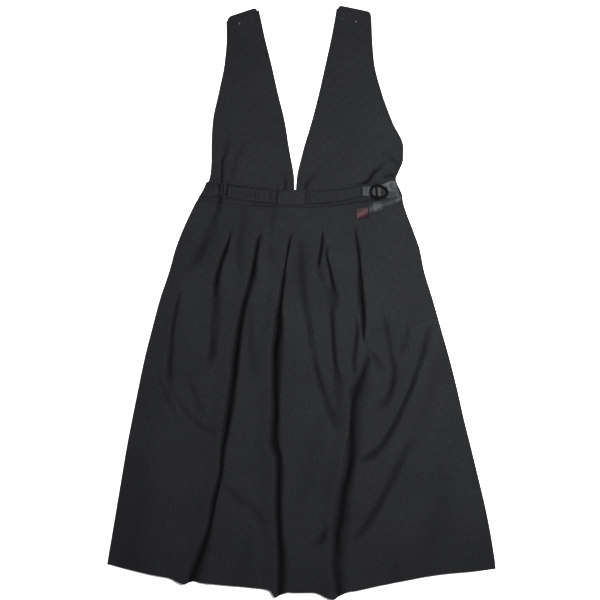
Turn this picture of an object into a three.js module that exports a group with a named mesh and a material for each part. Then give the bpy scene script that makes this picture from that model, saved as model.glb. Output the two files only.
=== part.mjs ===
// Pinafore dress laid flat on its back: pleated skirt, waistband, deep V bibs with
// shoulder tabs, self-fabric belt, and a glossy tape with an oval ring at the side.
// Millimetres. X runs across the dress, Y from the hem (-) to the tabs (+), Z up
// from the surface that the back lies on.
import * as THREE from 'three';
import { mergeVertices } from 'three/addons/utils/BufferGeometryUtils.js';

// ---- named sizes -----------------------------------------------------------
const CLOTH = 1.4;          // wall of every cloth panel
const GAP = 0.3;            // clearance between layers
const SEAM = 0.24;         // each side of a curved seam line, for 0.48 in all
const BELT = 2.2;           // self-fabric belt, cloth folded on itself
const TAPE = 1.0;           // glossy tape
const INSET = 1.5;          // back panels stay this far inside the front outline
const HEM_SHY = 4;          // back hem is this much shorter than the front hem
const TAB_CORNER = 7;       // rounded corner of a shoulder tab
const RING = { x: 155.5, y: 220.6, half: 19.3, rise: 15, rim: 5, thick: 3, bar: 2.8, barX: -4.4, tilt: -0.08 };
const STUD = { radius: 2.5, height: 1.2 };
const EDGE_LEFT = 60;       // how far in from a side the skirt stays low
const EDGE_RIGHT = 80;

// Skirt: side edges and the five pleat lines, at stations down the dress.
const GUIDES = [
  { y: 195, left: -213, p1: -136, p2: -78, p3: -18, p4: 45, p5: 109, right: 206 },
  { y: 140, left: -238, p1: -140, p2: -78, p3: -18, p4: 45, p5: 109, right: 226 },
  { y: 105, left: -251, p1: -151, p2: -89, p3: -27, p4: 47, p5: 112, right: 238 },
  { y: 65, left: -262, p1: -164, p2: -97, p3: -34, p4: 57, p5: 117, right: 246 },
  { y: 5, left: -282, p1: -173, p2: -112, p3: -40, p4: 67, p5: 121, right: 264 },
  { y: -55, left: -298, p1: -177, p2: -124, p3: -46, p4: 63, p5: 124, right: 281 },
  { y: -115, left: -313, p1: -184, p2: -132, p3: -50, p4: 66, p5: 122, right: 298 },
  { y: -175, left: -325.5, p1: -193, p2: -138, p3: -51, p4: 68, p5: 112, right: 313 },
  { y: -235, left: -337.5, p1: -204, p2: -147, p3: -51, p4: 63, p5: 102, right: 326.5 },
  { y: -295, left: -349, p1: -216, p2: -157, p3: -50, p4: 51, p5: 96, right: 341.5 },
  { y: -355, left: -359, p1: -230, p2: -167, p3: -47, p4: 38, p5: 88, right: 356 },
  { y: -415, left: -369, p1: -245, p2: -178, p3: -46, p4: 26, p5: 79, right: 370 },
  { y: -475, left: -379, p1: -260, p2: -192, p3: -44, p4: 18, p5: 73, right: 381.5 },
  { y: -535, left: -389, p1: -275, p2: -211, p3: -40, p4: 12, p5: 70, right: 390 },
  { y: -590, left: -397, p1: -289, p2: -230, p3: -38, p4: 9, p5: 66, right: 394 },
];

// Height that the pleated front stands over the back, down the dress.
const CROWN = [
  { y: 195, rise: 0 }, { y: 165, rise: 0.3 }, { y: 140, rise: 0.9 }, { y: 100, rise: 2.6 },
  { y: 40, rise: 3.8 }, { y: -60, rise: 4.4 }, { y: -250, rise: 4.8 }, { y: -450, rise: 4.4 },
  { y: -600, rise: 4 },
];

// A pleat is a groove along its guide: open from top to full, gone between fade and end.
// Left and right are the widths of its two flanks, and the rolls are the cloth standing up beside them.
const ROLL = 34;
const PLEATS = [
  { guide: 'p1', top: 146, full: 80, fade: -50, end: -170, depth: 0.9, left: 7.5, right: 11, rollLeft: 3.2, rollRight: 2 },
  { guide: 'p2', top: 146, full: 95, fade: -600, end: -700, depth: 0.97, left: 7, right: 11, rollLeft: 4.8, rollRight: 3 },
  { guide: 'p3', top: 146, full: 60, fade: -600, end: -700, depth: 1, left: 8, right: 10, rollLeft: 5, rollRight: 3.8 },
  { guide: 'p4', top: 146, full: 70, fade: -60, end: -210, depth: 0.85, left: 10, right: 9, rollLeft: 2.8, rollRight: 2.6 },
  { guide: 'p5', top: 152, full: 80, fade: -10, end: -90, depth: 0.9, left: 10, right: 8, rollLeft: 2.4, rollRight: 3.4 },
  { guide: 'p5', top: -85, full: -150, fade: -600, end: -700, depth: 0.97, left: 9, right: 32, rollLeft: 7, rollRight: 1.2 },
];

// Softer folds: a trough through three points, with its depth and half-width.
const FOLDS = [
  { x0: 2, y0: 80, x1: 26, y1: -95, x2: 57, y2: -220, depth: 3, width: 17 },
  { x0: 114, y0: -5, x1: 108, y1: -70, x2: 106, y2: -130, depth: 3, width: 12 },
  { x0: 167, y0: -30, x1: 185, y1: -120, x2: 176, y2: -200, depth: 2.5, width: 14 },
  { x0: 256, y0: -60, x1: 205, y1: -205, x2: 140, y2: -318, depth: 4.5, width: 16 },
  { x0: 226, y0: -270, x1: 180, y1: -360, x2: 118, y2: -455, depth: 3, width: 20 },
  { x0: -243, y0: 20, x1: -256, y1: -50, x2: -262, y2: -130, depth: 3, width: 13 },
  { x0: -276, y0: -160, x1: -232, y1: -205, x2: -186, y2: -250, depth: 1.6, width: 18 },
  { x0: 60, y0: -440, x1: 38, y1: -500, x2: 24, y2: -570, depth: 3, width: 16 },
];

// Hem line, and where a fold's foot reaches past it.
const HEM = [
  { x: -400, y: -521 }, { x: -344, y: -534 }, { x: -288, y: -546 }, { x: -172, y: -563 },
  { x: -77, y: -572 }, { x: 0, y: -580 }, { x: 90, y: -578 }, { x: 162, y: -565 },
  { x: 292, y: -542 }, { x: 361, y: -536.5 }, { x: 400, y: -532 },
];
const HEM_FEET = [
  { x: -234, reach: 7, left: 34, right: 24 },
  { x: -51, reach: 13, left: 12, right: 28 },
  { x: 66, reach: 14.6, left: 42, right: 34 },
];

// Waist: seam lines of the band and edges of the belt over it.
const WAIST = [
  { x: -200, top: 242.5, bottom: 204, beltTop: 236, beltBottom: 211.5 },
  { x: -172, top: 237.6, bottom: 200.3, beltTop: 233.4, beltBottom: 211 },
  { x: -146, top: 234.2, bottom: 197.1, beltTop: 232.4, beltBottom: 209.6 },
  { x: -110, top: 230, bottom: 194, beltTop: 227.6, beltBottom: 204 },
  { x: -78, top: 226.8, bottom: 191.5, beltTop: 224.8, beltBottom: 200 },
  { x: -44, top: 223.8, bottom: 190.7, beltTop: 220.6, beltBottom: 197.4 },
  { x: 6, top: 223.2, bottom: 189.9, beltTop: 219.8, beltBottom: 197 },
  { x: 48, top: 223.4, bottom: 191.5, beltTop: 221.6, beltBottom: 198.8 },
  { x: 88, top: 227, bottom: 196.4, beltTop: 224.8, beltBottom: 203.5 },
  { x: 120, top: 233, bottom: 201.9, beltTop: 231.8, beltBottom: 211.5 },
  { x: 158, top: 239.7, bottom: 203.9, beltTop: 232, beltBottom: 212 },
  { x: 206, top: 247, bottom: 199.6, beltTop: 232, beltBottom: 212 },
];
const WAIST_SIDES = [
  { y: 250, left: -185, right: 189 }, { y: 240, left: -189, right: 191.5 },
  { y: 226, left: -195, right: 198 }, { y: 213, left: -202.5, right: 203 },
  { y: 203, left: -208, right: 204 }, { y: 190, left: -215.5, right: 207 },
];

// Bibs: armhole edge (outer) and V edge (inner) of each.
const BIBS = [
  { y: 610, leftOuter: -146, leftInner: -90, rightInner: 75.5, rightOuter: 134 },
  { y: 565, leftOuter: -148.5, leftInner: -80, rightInner: 68, rightOuter: 141 },
  { y: 530, leftOuter: -148, leftInner: -72.5, rightInner: 61.5, rightOuter: 142.5 },
  { y: 480, leftOuter: -152, leftInner: -60, rightInner: 50.5, rightOuter: 146.5 },
  { y: 420, leftOuter: -163.8, leftInner: -46.5, rightInner: 37, rightOuter: 161.5 },
  { y: 360, leftOuter: -176, leftInner: -32, rightInner: 21.5, rightOuter: 183.5 },
  { y: 310, leftOuter: -178.5, leftInner: -24, rightInner: 6.5, rightOuter: 205 },
  { y: 285, leftOuter: -178.5, leftInner: -19.5, rightInner: 0, rightOuter: 204.5 },
  { y: 260, leftOuter: -180, leftInner: -15, rightInner: -6, rightOuter: 195 },
  { y: 246, leftOuter: -183, leftInner: -13.5, rightInner: -8, rightOuter: 190 },
  { y: 215, leftOuter: -190, leftInner: -13, rightInner: -10, rightOuter: 196 },
];
// Tab ends slope from the armhole corner to the neck corner.
const TABS = {
  left: { outerX: -146, outerY: 571, innerX: -88, innerY: 590 },
  right: { innerX: 75, innerY: 594.6, outerX: 140, outerY: 581 },
};
// Creases that the bibs carry: a straight trough with a soft roll beside it.
const BIB_CREASES = [
  { side: 'left', x0: -148, y0: 345, x1: -158, y1: 236, depth: 2.2, width: 9, lift: 2.4, reach: 26 },
  { side: 'right', x0: 24, y0: 262, x1: 11, y1: 228, depth: 1.8, width: 7, lift: 1.8, reach: 16 },
  { side: 'right', x0: 156, y0: 282, x1: 118, y1: 238, depth: 2.8, width: 10, lift: 3.4, reach: 30 },
];

// Tape rows: upper and lower edge point of the tape at each station, and its height.
const TAPE_RUN = [
  { xt: 122.6, yt: 231.8, xb: 123.4, yb: 213.2 },
  { xt: 136, yt: 231.8, xb: 137, yb: 212.6 },
  { xt: 152, yt: 232.6, xb: 152, yb: 211.4 },
  { xt: 165, yt: 237, xb: 166, yb: 209.4 },
  { xt: 176, yt: 242, xb: 180, yb: 207.2 },
  { xt: 184, yt: 243.4, xb: 192, yb: 206.2 },
  { xt: 189, yt: 242.6, xb: 200, yb: 206 },
];
const TAPE_TAIL = [
  { xt: 200, yt: 213, xb: 200.4, yb: 203.2, rise: 1.1 },
  { xt: 190, yt: 210.4, xb: 191.4, yb: 198.2, rise: 1.1 },
  { xt: 178, yt: 207, xb: 181, yb: 192.6, rise: 1.1 },
  { xt: 166, yt: 204.4, xb: 169, yb: 187, rise: 0.35 },
  { xt: 150.5, yt: 202, xb: 156, yb: 182.6, rise: 0 },
  { xt: 135, yt: 193.6, xb: 135.6, yb: 176, rise: 0 },
];
const TAPE_TIP = [
  { xt: 134.4, yt: 190, xb: 134.8, yb: 169.2 },
  { xt: 123, yt: 189, xb: 123.6, yb: 168.6 },
  { xt: 110.6, yt: 187.2, xb: 111.6, yb: 168.2 },
];
const STUDS = [
  { x: -123.2, y: 557.6 }, { x: -98.4, y: 567.4 }, { x: 82.6, y: 567 }, { x: 110.2, y: 561.4 },
];

// ---- small helpers -----------------------------------------------------------
const lerp = (a, b, t) => a + (b - a) * t;
const smooth = (t) => { const c = Math.min(1, Math.max(0, t)); return c * c * (3 - 2 * c); };

// A column of a table at a station between its rows, without overshoot.
function along(rows, key, column, at) {
  const list = rows[0][key] < rows[rows.length - 1][key] ? rows : [...rows].reverse();
  const n = list.length;
  if (at <= list[0][key]) return list[0][column];
  if (at >= list[n - 1][key]) return list[n - 1][column];
  let i = 0;
  while (list[i + 1][key] < at) i += 1;
  const slope = (k) => (list[k + 1][column] - list[k][column]) / (list[k + 1][key] - list[k][key]);
  const tangent = (k) => {
    if (k <= 0) return slope(0);
    if (k >= n - 1) return slope(n - 2);
    const a = slope(k - 1), b = slope(k);
    return a * b <= 0 ? 0 : (2 * a * b) / (a + b);
  };
  const h = list[i + 1][key] - list[i][key];
  const t = (at - list[i][key]) / h;
  const t2 = t * t, t3 = t2 * t;
  return (2 * t3 - 3 * t2 + 1) * list[i][column] + (t3 - 2 * t2 + t) * h * tangent(i)
    + (3 * t2 - 2 * t3) * list[i + 1][column] + (t3 - t2) * h * tangent(i + 1);
}

// Closed solid from a grid of under points and a grid of upper points.
function shell(under, upper) {
  const rows = under.length, cols = under[0].length;
  const position = [];
  const index = [];
  for (const grid of [under, upper]) for (const row of grid) for (const p of row) position.push(p.x, p.y, p.z);
  const id = (layer, j, i) => layer * rows * cols + j * cols + i;
  const quad = (a, b, c, d) => index.push(a, b, c, a, c, d);
  for (let j = 0; j < rows - 1; j += 1) {
    for (let i = 0; i < cols - 1; i += 1) {
      quad(id(0, j, i), id(0, j, i + 1), id(0, j + 1, i + 1), id(0, j + 1, i));
      quad(id(1, j, i), id(1, j + 1, i), id(1, j + 1, i + 1), id(1, j, i + 1));
    }
  }
  for (let i = 0; i < cols - 1; i += 1) {
    quad(id(0, 0, i), id(1, 0, i), id(1, 0, i + 1), id(0, 0, i + 1));
    quad(id(0, rows - 1, i + 1), id(1, rows - 1, i + 1), id(1, rows - 1, i), id(0, rows - 1, i));
  }
  for (let j = 0; j < rows - 1; j += 1) {
    quad(id(0, j + 1, 0), id(1, j + 1, 0), id(1, j, 0), id(0, j, 0));
    quad(id(0, j, cols - 1), id(1, j, cols - 1), id(1, j + 1, cols - 1), id(0, j + 1, cols - 1));
  }
  const geometry = new THREE.BufferGeometry();
  geometry.setAttribute('position', new THREE.Float32BufferAttribute(position, 3));
  geometry.setIndex(index);
  return geometry;
}

// Wall of a given thickness about a grid of middle points, square to the sheet.
// Rows run down the dress and columns run to the right.
function wall(mid, thickness) {
  const rows = mid.length, cols = mid[0].length;
  const under = [], upper = [];
  for (let j = 0; j < rows; j += 1) {
    under.push([]); upper.push([]);
    for (let i = 0; i < cols; i += 1) {
      const across = mid[j][Math.min(i + 1, cols - 1)].clone().sub(mid[j][Math.max(i - 1, 0)]);
      const down = mid[Math.min(j + 1, rows - 1)][i].clone().sub(mid[Math.max(j - 1, 0)][i]);
      const n = down.cross(across).normalize().multiplyScalar(thickness / 2);
      upper[j].push(mid[j][i].clone().add(n));
      under[j].push(mid[j][i].clone().sub(n));
    }
  }
  return shell(under, upper);
}

// Flat slab: the same grid at two heights.
function slab(plan, low, high) {
  const at = (z) => plan.map((row) => row.map((p) => new THREE.Vector3(p.x, p.y, z)));
  return shell(at(low), at(high));
}

function named(name, geometry, colour, roughness, metalness = 0) {
  const mesh = new THREE.Mesh(geometry, new THREE.MeshStandardMaterial({ color: colour, roughness, metalness }));
  mesh.name = name;
  return mesh;
}

// ---- skirt -----------------------------------------------------------------
const FRONT_MID = CLOTH + GAP + CLOTH / 2;   // middle of the front layer where it lies on the back

const hemLine = (x) => {
  let y = along(HEM, 'x', 'y', x);
  for (const foot of HEM_FEET) {
    const d = x - foot.x;
    y -= foot.reach * smooth(1 - Math.abs(d) / (d < 0 ? foot.left : foot.right));
  }
  return y;
};

// Opening of a pleat at a station down the dress, 0 closed to 1 full.
const opening = (p, y) => smooth((p.top - y) / (p.top - p.full)) * (1 - smooth((p.fade - y) / (p.fade - p.end)));

// Distance across a soft fold, and how present it is at that height.
function acrossFold(f, x, y) {
  const t = (y - f.y0) / (f.y2 - f.y0);
  if (t <= 0 || t >= 1) return null;
  const m = (f.y1 - f.y0) / (f.y2 - f.y0);
  const centre = f.x0 * (t - m) * (t - 1) / m + f.x1 * t * (t - 1) / (m * (m - 1)) + f.x2 * t * (t - m) / (1 - m);
  const slope = (f.x2 - f.x0) / (f.y2 - f.y0);
  return { d: (x - centre) / Math.hypot(1, slope), here: smooth(t / 0.3) * smooth((1 - t) / 0.3) };
}

function skirtRise(x, y) {
  const fromLeft = x - along(GUIDES, 'y', 'left', y);
  const fromRight = along(GUIDES, 'y', 'right', y) - x;
  let rise = along(CROWN, 'y', 'rise', y) * smooth(fromLeft / EDGE_LEFT) * smooth(fromRight / EDGE_RIGHT);
  let keep = 1;
  for (const p of PLEATS) {
    const open = opening(p, y);
    if (open <= 0) continue;
    const d = x - along(GUIDES, 'y', p.guide, y);
    const spread = 0.55 + 0.45 * smooth((p.top - y) / 160);
    const flank = (d < 0 ? p.left : p.right) * spread;
    const dip = smooth(1 - Math.abs(d) / flank);
    rise += (d < 0 ? p.rollLeft : p.rollRight) * open * smooth(1 - Math.max(0, Math.abs(d) - flank) / ROLL);
    keep *= 1 - p.depth * open * dip;
  }
  for (const f of FOLDS) {
    const a = acrossFold(f, x, y);
    if (a) rise -= f.depth * a.here * Math.exp(-((a.d / f.width) ** 2) * 1.6);
  }
  return Math.max(0, rise * keep);
}

// Columns of the skirt: beside each guide at fixed distances, and shared out between guides.
const BESIDE = { p1: [-14, -6, -1.5, 3, 9, 18], p2: [-14, -6, -1.5, 3, 10, 20], p3: [-14, -6, -1.5, 3, 9, 17], p4: [-14, -6, -1.5, 3, 10], p5: [-13, -6, -1.5, 4, 13, 26], left: [0, 4, 14], right: [-14, -4, 0] };
const BETWEEN = [
  { from: 'left', to: 'p1', columns: 2 }, { from: 'p1', to: 'p2', columns: 1 }, { from: 'p2', to: 'p3', columns: 3 },
  { from: 'p3', to: 'p4', columns: 3 }, { from: 'p4', to: 'p5', columns: 1 }, { from: 'p5', to: 'right', columns: 9 },
];
const COLUMNS = [];
for (const [k, span] of BETWEEN.entries()) {
  if (k === 0) for (const off of BESIDE[span.from]) COLUMNS.push((y) => along(GUIDES, 'y', span.from, y) + off);
  const start = BESIDE[span.from][BESIDE[span.from].length - 1], stop = BESIDE[span.to][0];
  for (let c = 1; c <= span.columns; c += 1) {
    COLUMNS.push((y) => lerp(along(GUIDES, 'y', span.from, y) + start, along(GUIDES, 'y', span.to, y) + stop, c / (span.columns + 1)));
  }
  for (const off of BESIDE[span.to]) COLUMNS.push((y) => along(GUIDES, 'y', span.to, y) + off);
}

// A point of a column a share of the way from the waist seam to the hem.
function placeDown(column, share, top, bottom) {
  let y = lerp(190, -560, share), x = column(y);
  for (let k = 0; k < 6; k += 1) {
    y = lerp(top(x), bottom(x), share);
    x = column(y);
  }
  return { x, y };
}

const SKIRT_ROWS = 24;
const skirtTop = (x) => along(WAIST, 'x', 'bottom', x) - SEAM;
const frontGrid = [];
for (let j = 0; j < SKIRT_ROWS; j += 1) {
  const share = (j / (SKIRT_ROWS - 1)) ** 1.2;
  frontGrid.push(COLUMNS.map((column) => {
    const { x, y } = placeDown(column, share, skirtTop, hemLine);
    return new THREE.Vector3(x, y, FRONT_MID + skirtRise(x, y));
  }));
}

const BACK_COLUMNS = 15, BACK_ROWS = 11;
const backHem = (x) => along(HEM, 'x', 'y', x) + HEM_SHY;
const backGrid = [];
for (let j = 0; j < BACK_ROWS; j += 1) {
  backGrid.push([]);
  for (let i = 0; i < BACK_COLUMNS; i += 1) {
    const column = (y) => lerp(along(GUIDES, 'y', 'left', y) + INSET, along(GUIDES, 'y', 'right', y) - INSET, i / (BACK_COLUMNS - 1));
    backGrid[j].push(placeDown(column, j / (BACK_ROWS - 1), skirtTop, backHem));
  }
}

// ---- waistband, belt and loops ------------------------------------------------
function waistStrip(columns, rows, inset, topKey, bottomKey, gap, rise, from = 0, to = 1) {
  const grid = [];
  for (let j = 0; j < rows; j += 1) {
    grid.push([]);
    for (let i = 0; i < columns; i += 1) {
      const u = lerp(from, to, i / (columns - 1));
      const column = (y) => lerp(along(WAIST_SIDES, 'y', 'left', y) + inset, along(WAIST_SIDES, 'y', 'right', y) - inset, u);
      let y = 215, x = column(y);
      for (let k = 0; k < 6; k += 1) {
        y = lerp(along(WAIST, 'x', topKey, x), along(WAIST, 'x', bottomKey, x) + gap, j / (rows - 1));
        x = column(y);
      }
      grid[j].push(new THREE.Vector3(x, y, rise(x, y)));
    }
  }
  return grid;
}
const bandFront = waistStrip(25, 2, 0, 'top', 'bottom', SEAM, () => FRONT_MID);
const bandBack = waistStrip(25, 2, INSET, 'top', 'bottom', SEAM, () => 0);
const BELT_LOW = 2 * CLOTH + 2 * GAP;
const BELT_TO = 0.8015;     // the belt ends where the tape begins
const belt = waistStrip(23, 2, 1, 'beltTop', 'beltBottom', 0, () => BELT_LOW + BELT / 2, 0, BELT_TO);

// A loop is a strip that rises over the belt and comes down at both its edges.
function beltLoop(xLeft, xRight, lean, over, under, columns) {
  const flat = BELT_LOW + CLOTH / 2, high = BELT_LOW + BELT + GAP + CLOTH / 2;
  const profile = [
    { y: over + 4.2, z: flat }, { y: over + 2.3, z: flat + 0.2 }, { y: over + 1.3, z: high - 0.7 }, { y: over - 1, z: high },
    { y: (over + under) / 2, z: high + 0.3 },
    { y: under + 1, z: high }, { y: under - 1.3, z: high - 0.7 }, { y: under - 2.3, z: flat + 0.2 }, { y: under - 4.2, z: flat },
  ];
  return profile.map((p) => {
    const row = [];
    for (let i = 0; i < columns; i += 1) {
      const shift = lean * (p.y - (over + under) / 2);
      row.push(new THREE.Vector3(lerp(xLeft, xRight, i / (columns - 1)) + shift, p.y, p.z));
    }
    return row;
  });
}
const loopCentre = beltLoop(-46.8, 9.4, 0.08, 220.8, 196.8, 5);
const loopSide = beltLoop(-159, -148.5, -0.04, 234.4, 209.4, 3);

// ---- bibs --------------------------------------------------------------------
function bibRise(side, x, y) {
  const outer = along(BIBS, 'y', `${side}Outer`, y), inner = along(BIBS, 'y', `${side}Inner`, y);
  const t = (x - outer) / (inner - outer);
  const nearSeam = smooth((y - along(WAIST, 'x', 'top', x) - 2) / 30);
  let rise = 1.2 * smooth(t / 0.3) * smooth((1 - t) / 0.3) * nearSeam;
  for (const c of BIB_CREASES) {
    if (c.side !== side) continue;
    const length = Math.hypot(c.x1 - c.x0, c.y1 - c.y0);
    const s = ((x - c.x0) * (c.x1 - c.x0) + (y - c.y0) * (c.y1 - c.y0)) / length;
    const d = ((x - c.x0) * (c.y1 - c.y0) - (y - c.y0) * (c.x1 - c.x0)) / length;
    const here = smooth(s / (length * 0.4)) * smooth((length * 1.1 - s) / (length * 0.3));
    rise += c.lift * here * Math.exp(-((d / c.reach) ** 2)) * smooth(nearSeam * 1.5) - c.depth * here * Math.exp(-((d / c.width) ** 2)) * nearSeam;
  }
  return Math.max(0, rise);
}

function bibGrid(side, columns, rows, inset, lower) {
  const tab = TABS[side];
  const left = side === 'left' ? 'leftOuter' : 'rightInner', right = side === 'left' ? 'leftInner' : 'rightOuter';
  const a = side === 'left' ? [tab.outerX, tab.outerY] : [tab.innerX, tab.innerY];
  const b = side === 'left' ? [tab.innerX, tab.innerY] : [tab.outerX, tab.outerY];
  const tabTop = (x) => {
    const t = (x - a[0]) / (b[0] - a[0]);
    const fromEnd = Math.min(Math.max(0, x - a[0]), Math.max(0, b[0] - x));
    const c = Math.max(0, TAB_CORNER - fromEnd);
    return lerp(a[1], b[1], t) - (TAB_CORNER - Math.sqrt(TAB_CORNER ** 2 - c ** 2)) - lower;
  };
  const seam = (x) => along(WAIST, 'x', 'top', x) + 2 * SEAM;
  const grid = [];
  for (let j = 0; j < rows; j += 1) {
    grid.push([]);
    for (let i = 0; i < columns; i += 1) {
      const u = i / (columns - 1);
      const share = lerp(u, smooth(u), 0.55);   // closer together at the edges
      const column = (y) => lerp(along(BIBS, 'y', left, y) + inset, along(BIBS, 'y', right, y) - inset, share);
      let y = 400, x = column(y);
      for (let k = 0; k < 8; k += 1) {
        y = lerp(tabTop(x), seam(x), j / (rows - 1));
        x = column(y);
      }
      grid[j].push(new THREE.Vector3(x, y, FRONT_MID + (lower ? 0 : bibRise(side, x, y))));
    }
  }
  return grid;
}

// ---- tape, ring and studs ------------------------------------------------------
function tapeGrid(rows, across, height) {
  return Array.from({ length: across }, (_, j) => rows.map((r) => new THREE.Vector3(
    lerp(r.xt, r.xb, j / (across - 1)), lerp(r.yt, r.yb, j / (across - 1)), height + (r.rise ?? 0))));
}

function ringGeometry() {
  const outline = (grow) => (a) => {
    const x = (RING.half - grow) * Math.cos(a) * (1 + 0.04 * Math.cos(a)), y = (RING.rise - grow) * Math.sin(a) * (1 - 0.18 * Math.cos(a));
    return new THREE.Vector2(x * Math.cos(RING.tilt) - y * Math.sin(RING.tilt), x * Math.sin(RING.tilt) + y * Math.cos(RING.tilt));
  };
  const sample = (curve, n) => Array.from({ length: n }, (_, k) => curve((k / n) * 2 * Math.PI));
  const shape = new THREE.Shape(sample(outline(0), 28));
  const inner = sample(outline(RING.rim), 120);
  for (const side of [-1, 1]) {
    // the part of the opening on one side of the bar, closed by the bar's straight edge
    const limit = RING.barX + side * RING.bar / 2;
    const kept = inner.filter((p) => side * (p.x - limit) > 0);
    const turn = kept.findIndex((p, k) => p.distanceTo(kept[(k + 1) % kept.length]) > 3);
    const ordered = [...kept.slice(turn + 1), ...kept.slice(0, turn + 1)];
    const few = ordered.filter((_, k) => k % 6 === 0 || k === ordered.length - 1);
    shape.holes.push(new THREE.Path(few));
  }
  const geometry = new THREE.ExtrudeGeometry(shape, { depth: RING.thick - 1.4, bevelEnabled: true, bevelThickness: 0.7, bevelSize: 0.7, bevelOffset: -0.7, bevelSegments: 1 });
  geometry.translate(0, 0, 0.7);
  return geometry;
}

function studGeometry() {
  const { radius, height } = STUD;
  const profile = [[0, 0], [radius, 0], [radius, height * 0.35], [radius * 0.7, height * 0.85], [0, height]];
  const geometry = new THREE.LatheGeometry(profile.map(([r, h]) => new THREE.Vector2(r, h)), 12);
  geometry.rotateX(Math.PI / 2);
  return geometry;
}

const clean = (geometry) => {
  geometry.deleteAttribute('normal');
  geometry.deleteAttribute('uv');
  return mergeVertices(geometry, 1e-3);
};

// ---- the dress -----------------------------------------------------------------
const CHARCOAL = '#2c2d2f', CHARCOAL_BACK = '#28292b', GLOSS = '#3a3c3d', RED = '#8c2f3a', BLACK = '#151617', METAL = '#9a9b99';
const group = new THREE.Group();
group.add(named('skirt_front', wall(frontGrid, CLOTH), CHARCOAL, 0.9));
group.add(named('skirt_back', slab(backGrid, 0, CLOTH), CHARCOAL_BACK, 0.9));
group.add(named('waistband_front', wall(bandFront, CLOTH), CHARCOAL, 0.9));
group.add(named('waistband_back', slab(bandBack, 0, CLOTH), CHARCOAL_BACK, 0.9));
group.add(named('bib_front_left', wall(bibGrid('left', 8, 15, 0, 0), CLOTH), CHARCOAL, 0.9));
group.add(named('bib_front_right', wall(bibGrid('right', 8, 15, 0, 0), CLOTH), CHARCOAL, 0.9));
group.add(named('bib_back_left', slab(bibGrid('left', 5, 12, INSET, 3), 0, CLOTH), CHARCOAL_BACK, 0.9));
group.add(named('bib_back_right', slab(bibGrid('right', 5, 12, INSET, 3), 0, CLOTH), CHARCOAL_BACK, 0.9));
group.add(named('belt', wall(belt, BELT), CHARCOAL, 0.9));
group.add(named('belt_loop_centre', wall(loopCentre, CLOTH), CHARCOAL, 0.9));
group.add(named('belt_loop_side', wall(loopSide, CLOTH), CHARCOAL, 0.9));

const tapeLow = BELT_LOW;
group.add(named('tape_run', wall(tapeGrid(TAPE_RUN, 3, tapeLow + TAPE / 2), TAPE), GLOSS, 0.3));
const tailLow = tapeLow + 0.9;
group.add(named('tape_tail', wall(tapeGrid(TAPE_TAIL, 3, tailLow + TAPE / 2), TAPE), GLOSS, 0.3));
group.add(named('tape_tip', wall(tapeGrid(TAPE_TIP, 3, tailLow + TAPE / 2), TAPE + 0.4), RED, 0.5));

const ring = named('ring', clean(ringGeometry()), BLACK, 0.35);
ring.position.set(RING.x, RING.y, tapeLow + TAPE + GAP);
group.add(ring);

const tabTopHeight = (s) => FRONT_MID + CLOTH / 2 + bibRise(s.x < 0 ? 'left' : 'right', s.x, s.y) + GAP;
for (const [k, s] of STUDS.entries()) {
  const stud = named(`stud_${k + 1}`, clean(studGeometry()), METAL, 0.35, 0.8);
  stud.position.set(s.x, s.y, tabTopHeight(s) + 0.1);
  group.add(stud);
}

export default group;
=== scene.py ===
"""Pinafore dress laid flat, seen from straight above. Tables are in millimetres, meshes in metres."""
import math
import bpy
import numpy as np
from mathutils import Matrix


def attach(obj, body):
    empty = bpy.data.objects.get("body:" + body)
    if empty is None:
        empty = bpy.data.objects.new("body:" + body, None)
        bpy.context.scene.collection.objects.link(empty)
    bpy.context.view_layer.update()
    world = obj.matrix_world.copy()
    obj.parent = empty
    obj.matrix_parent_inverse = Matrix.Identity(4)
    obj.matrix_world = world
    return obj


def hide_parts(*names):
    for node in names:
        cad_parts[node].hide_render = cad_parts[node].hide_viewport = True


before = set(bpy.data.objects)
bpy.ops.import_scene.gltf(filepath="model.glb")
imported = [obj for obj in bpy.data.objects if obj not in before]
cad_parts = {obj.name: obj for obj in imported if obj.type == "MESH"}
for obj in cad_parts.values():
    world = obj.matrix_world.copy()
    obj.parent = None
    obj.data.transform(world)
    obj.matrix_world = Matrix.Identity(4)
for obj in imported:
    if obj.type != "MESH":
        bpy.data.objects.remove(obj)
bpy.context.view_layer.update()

MM = 0.001

# ------------------------------------------------------------------ sizes
CLOTH = 1.4            # wall of the panels in the frame
GAP = 0.3
SEAM = 0.2
SHELL = 1.2            # cloth as it shows
BELT = 2.2
TAPE = 1.0
INSET = 1.5
BACK_SHIFT = 2.0       # the back seams lie this far off the front ones, so no floor shows through
TAB_CORNER = 7.0
EDGE_LEFT, EDGE_RIGHT, ROLL = 60.0, 80.0, 34.0
FRONT_MID = CLOTH + GAP + CLOTH / 2
BELT_LOW = 2 * CLOTH + 2 * GAP

GUIDES = [  # y, left, p1, p2, p3, p4, p5, right
    (207, -206, -136, -78, -18, 45, 109, 203.6), (195, -212.6, -136, -78, -18, 45, 109, 206), (140, -238, -140, -78, -18, 45, 109, 226),
    (105, -251, -151, -89, -27, 47, 112, 238), (65, -262, -164, -97, -34, 57, 117, 246),
    (5, -282, -173, -112, -40, 67, 121, 264), (-55, -298, -177, -124, -46, 63, 124, 281),
    (-115, -313, -184, -132, -50, 66, 122, 298), (-175, -325.5, -193, -138, -51, 68, 112, 313),
    (-235, -337.5, -204, -147, -51, 63, 102, 326.5), (-295, -349, -216, -157, -50, 51, 96, 341.5),
    (-355, -359, -230, -167, -47, 38, 88, 356), (-415, -369, -245, -178, -46, 26, 79, 370),
    (-475, -379, -260, -192, -44, 18, 73, 381.5), (-535, -389, -275, -211, -40, 12, 70, 390),
    (-590, -397, -289, -230, -38, 9, 66, 394),
]
CROWN = [(195, 0), (165, 0.4), (140, 1.6), (100, 5.0), (40, 8.0), (-60, 9.6), (-250, 10.0), (-450, 9.4), (-600, 8.4)]
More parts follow.
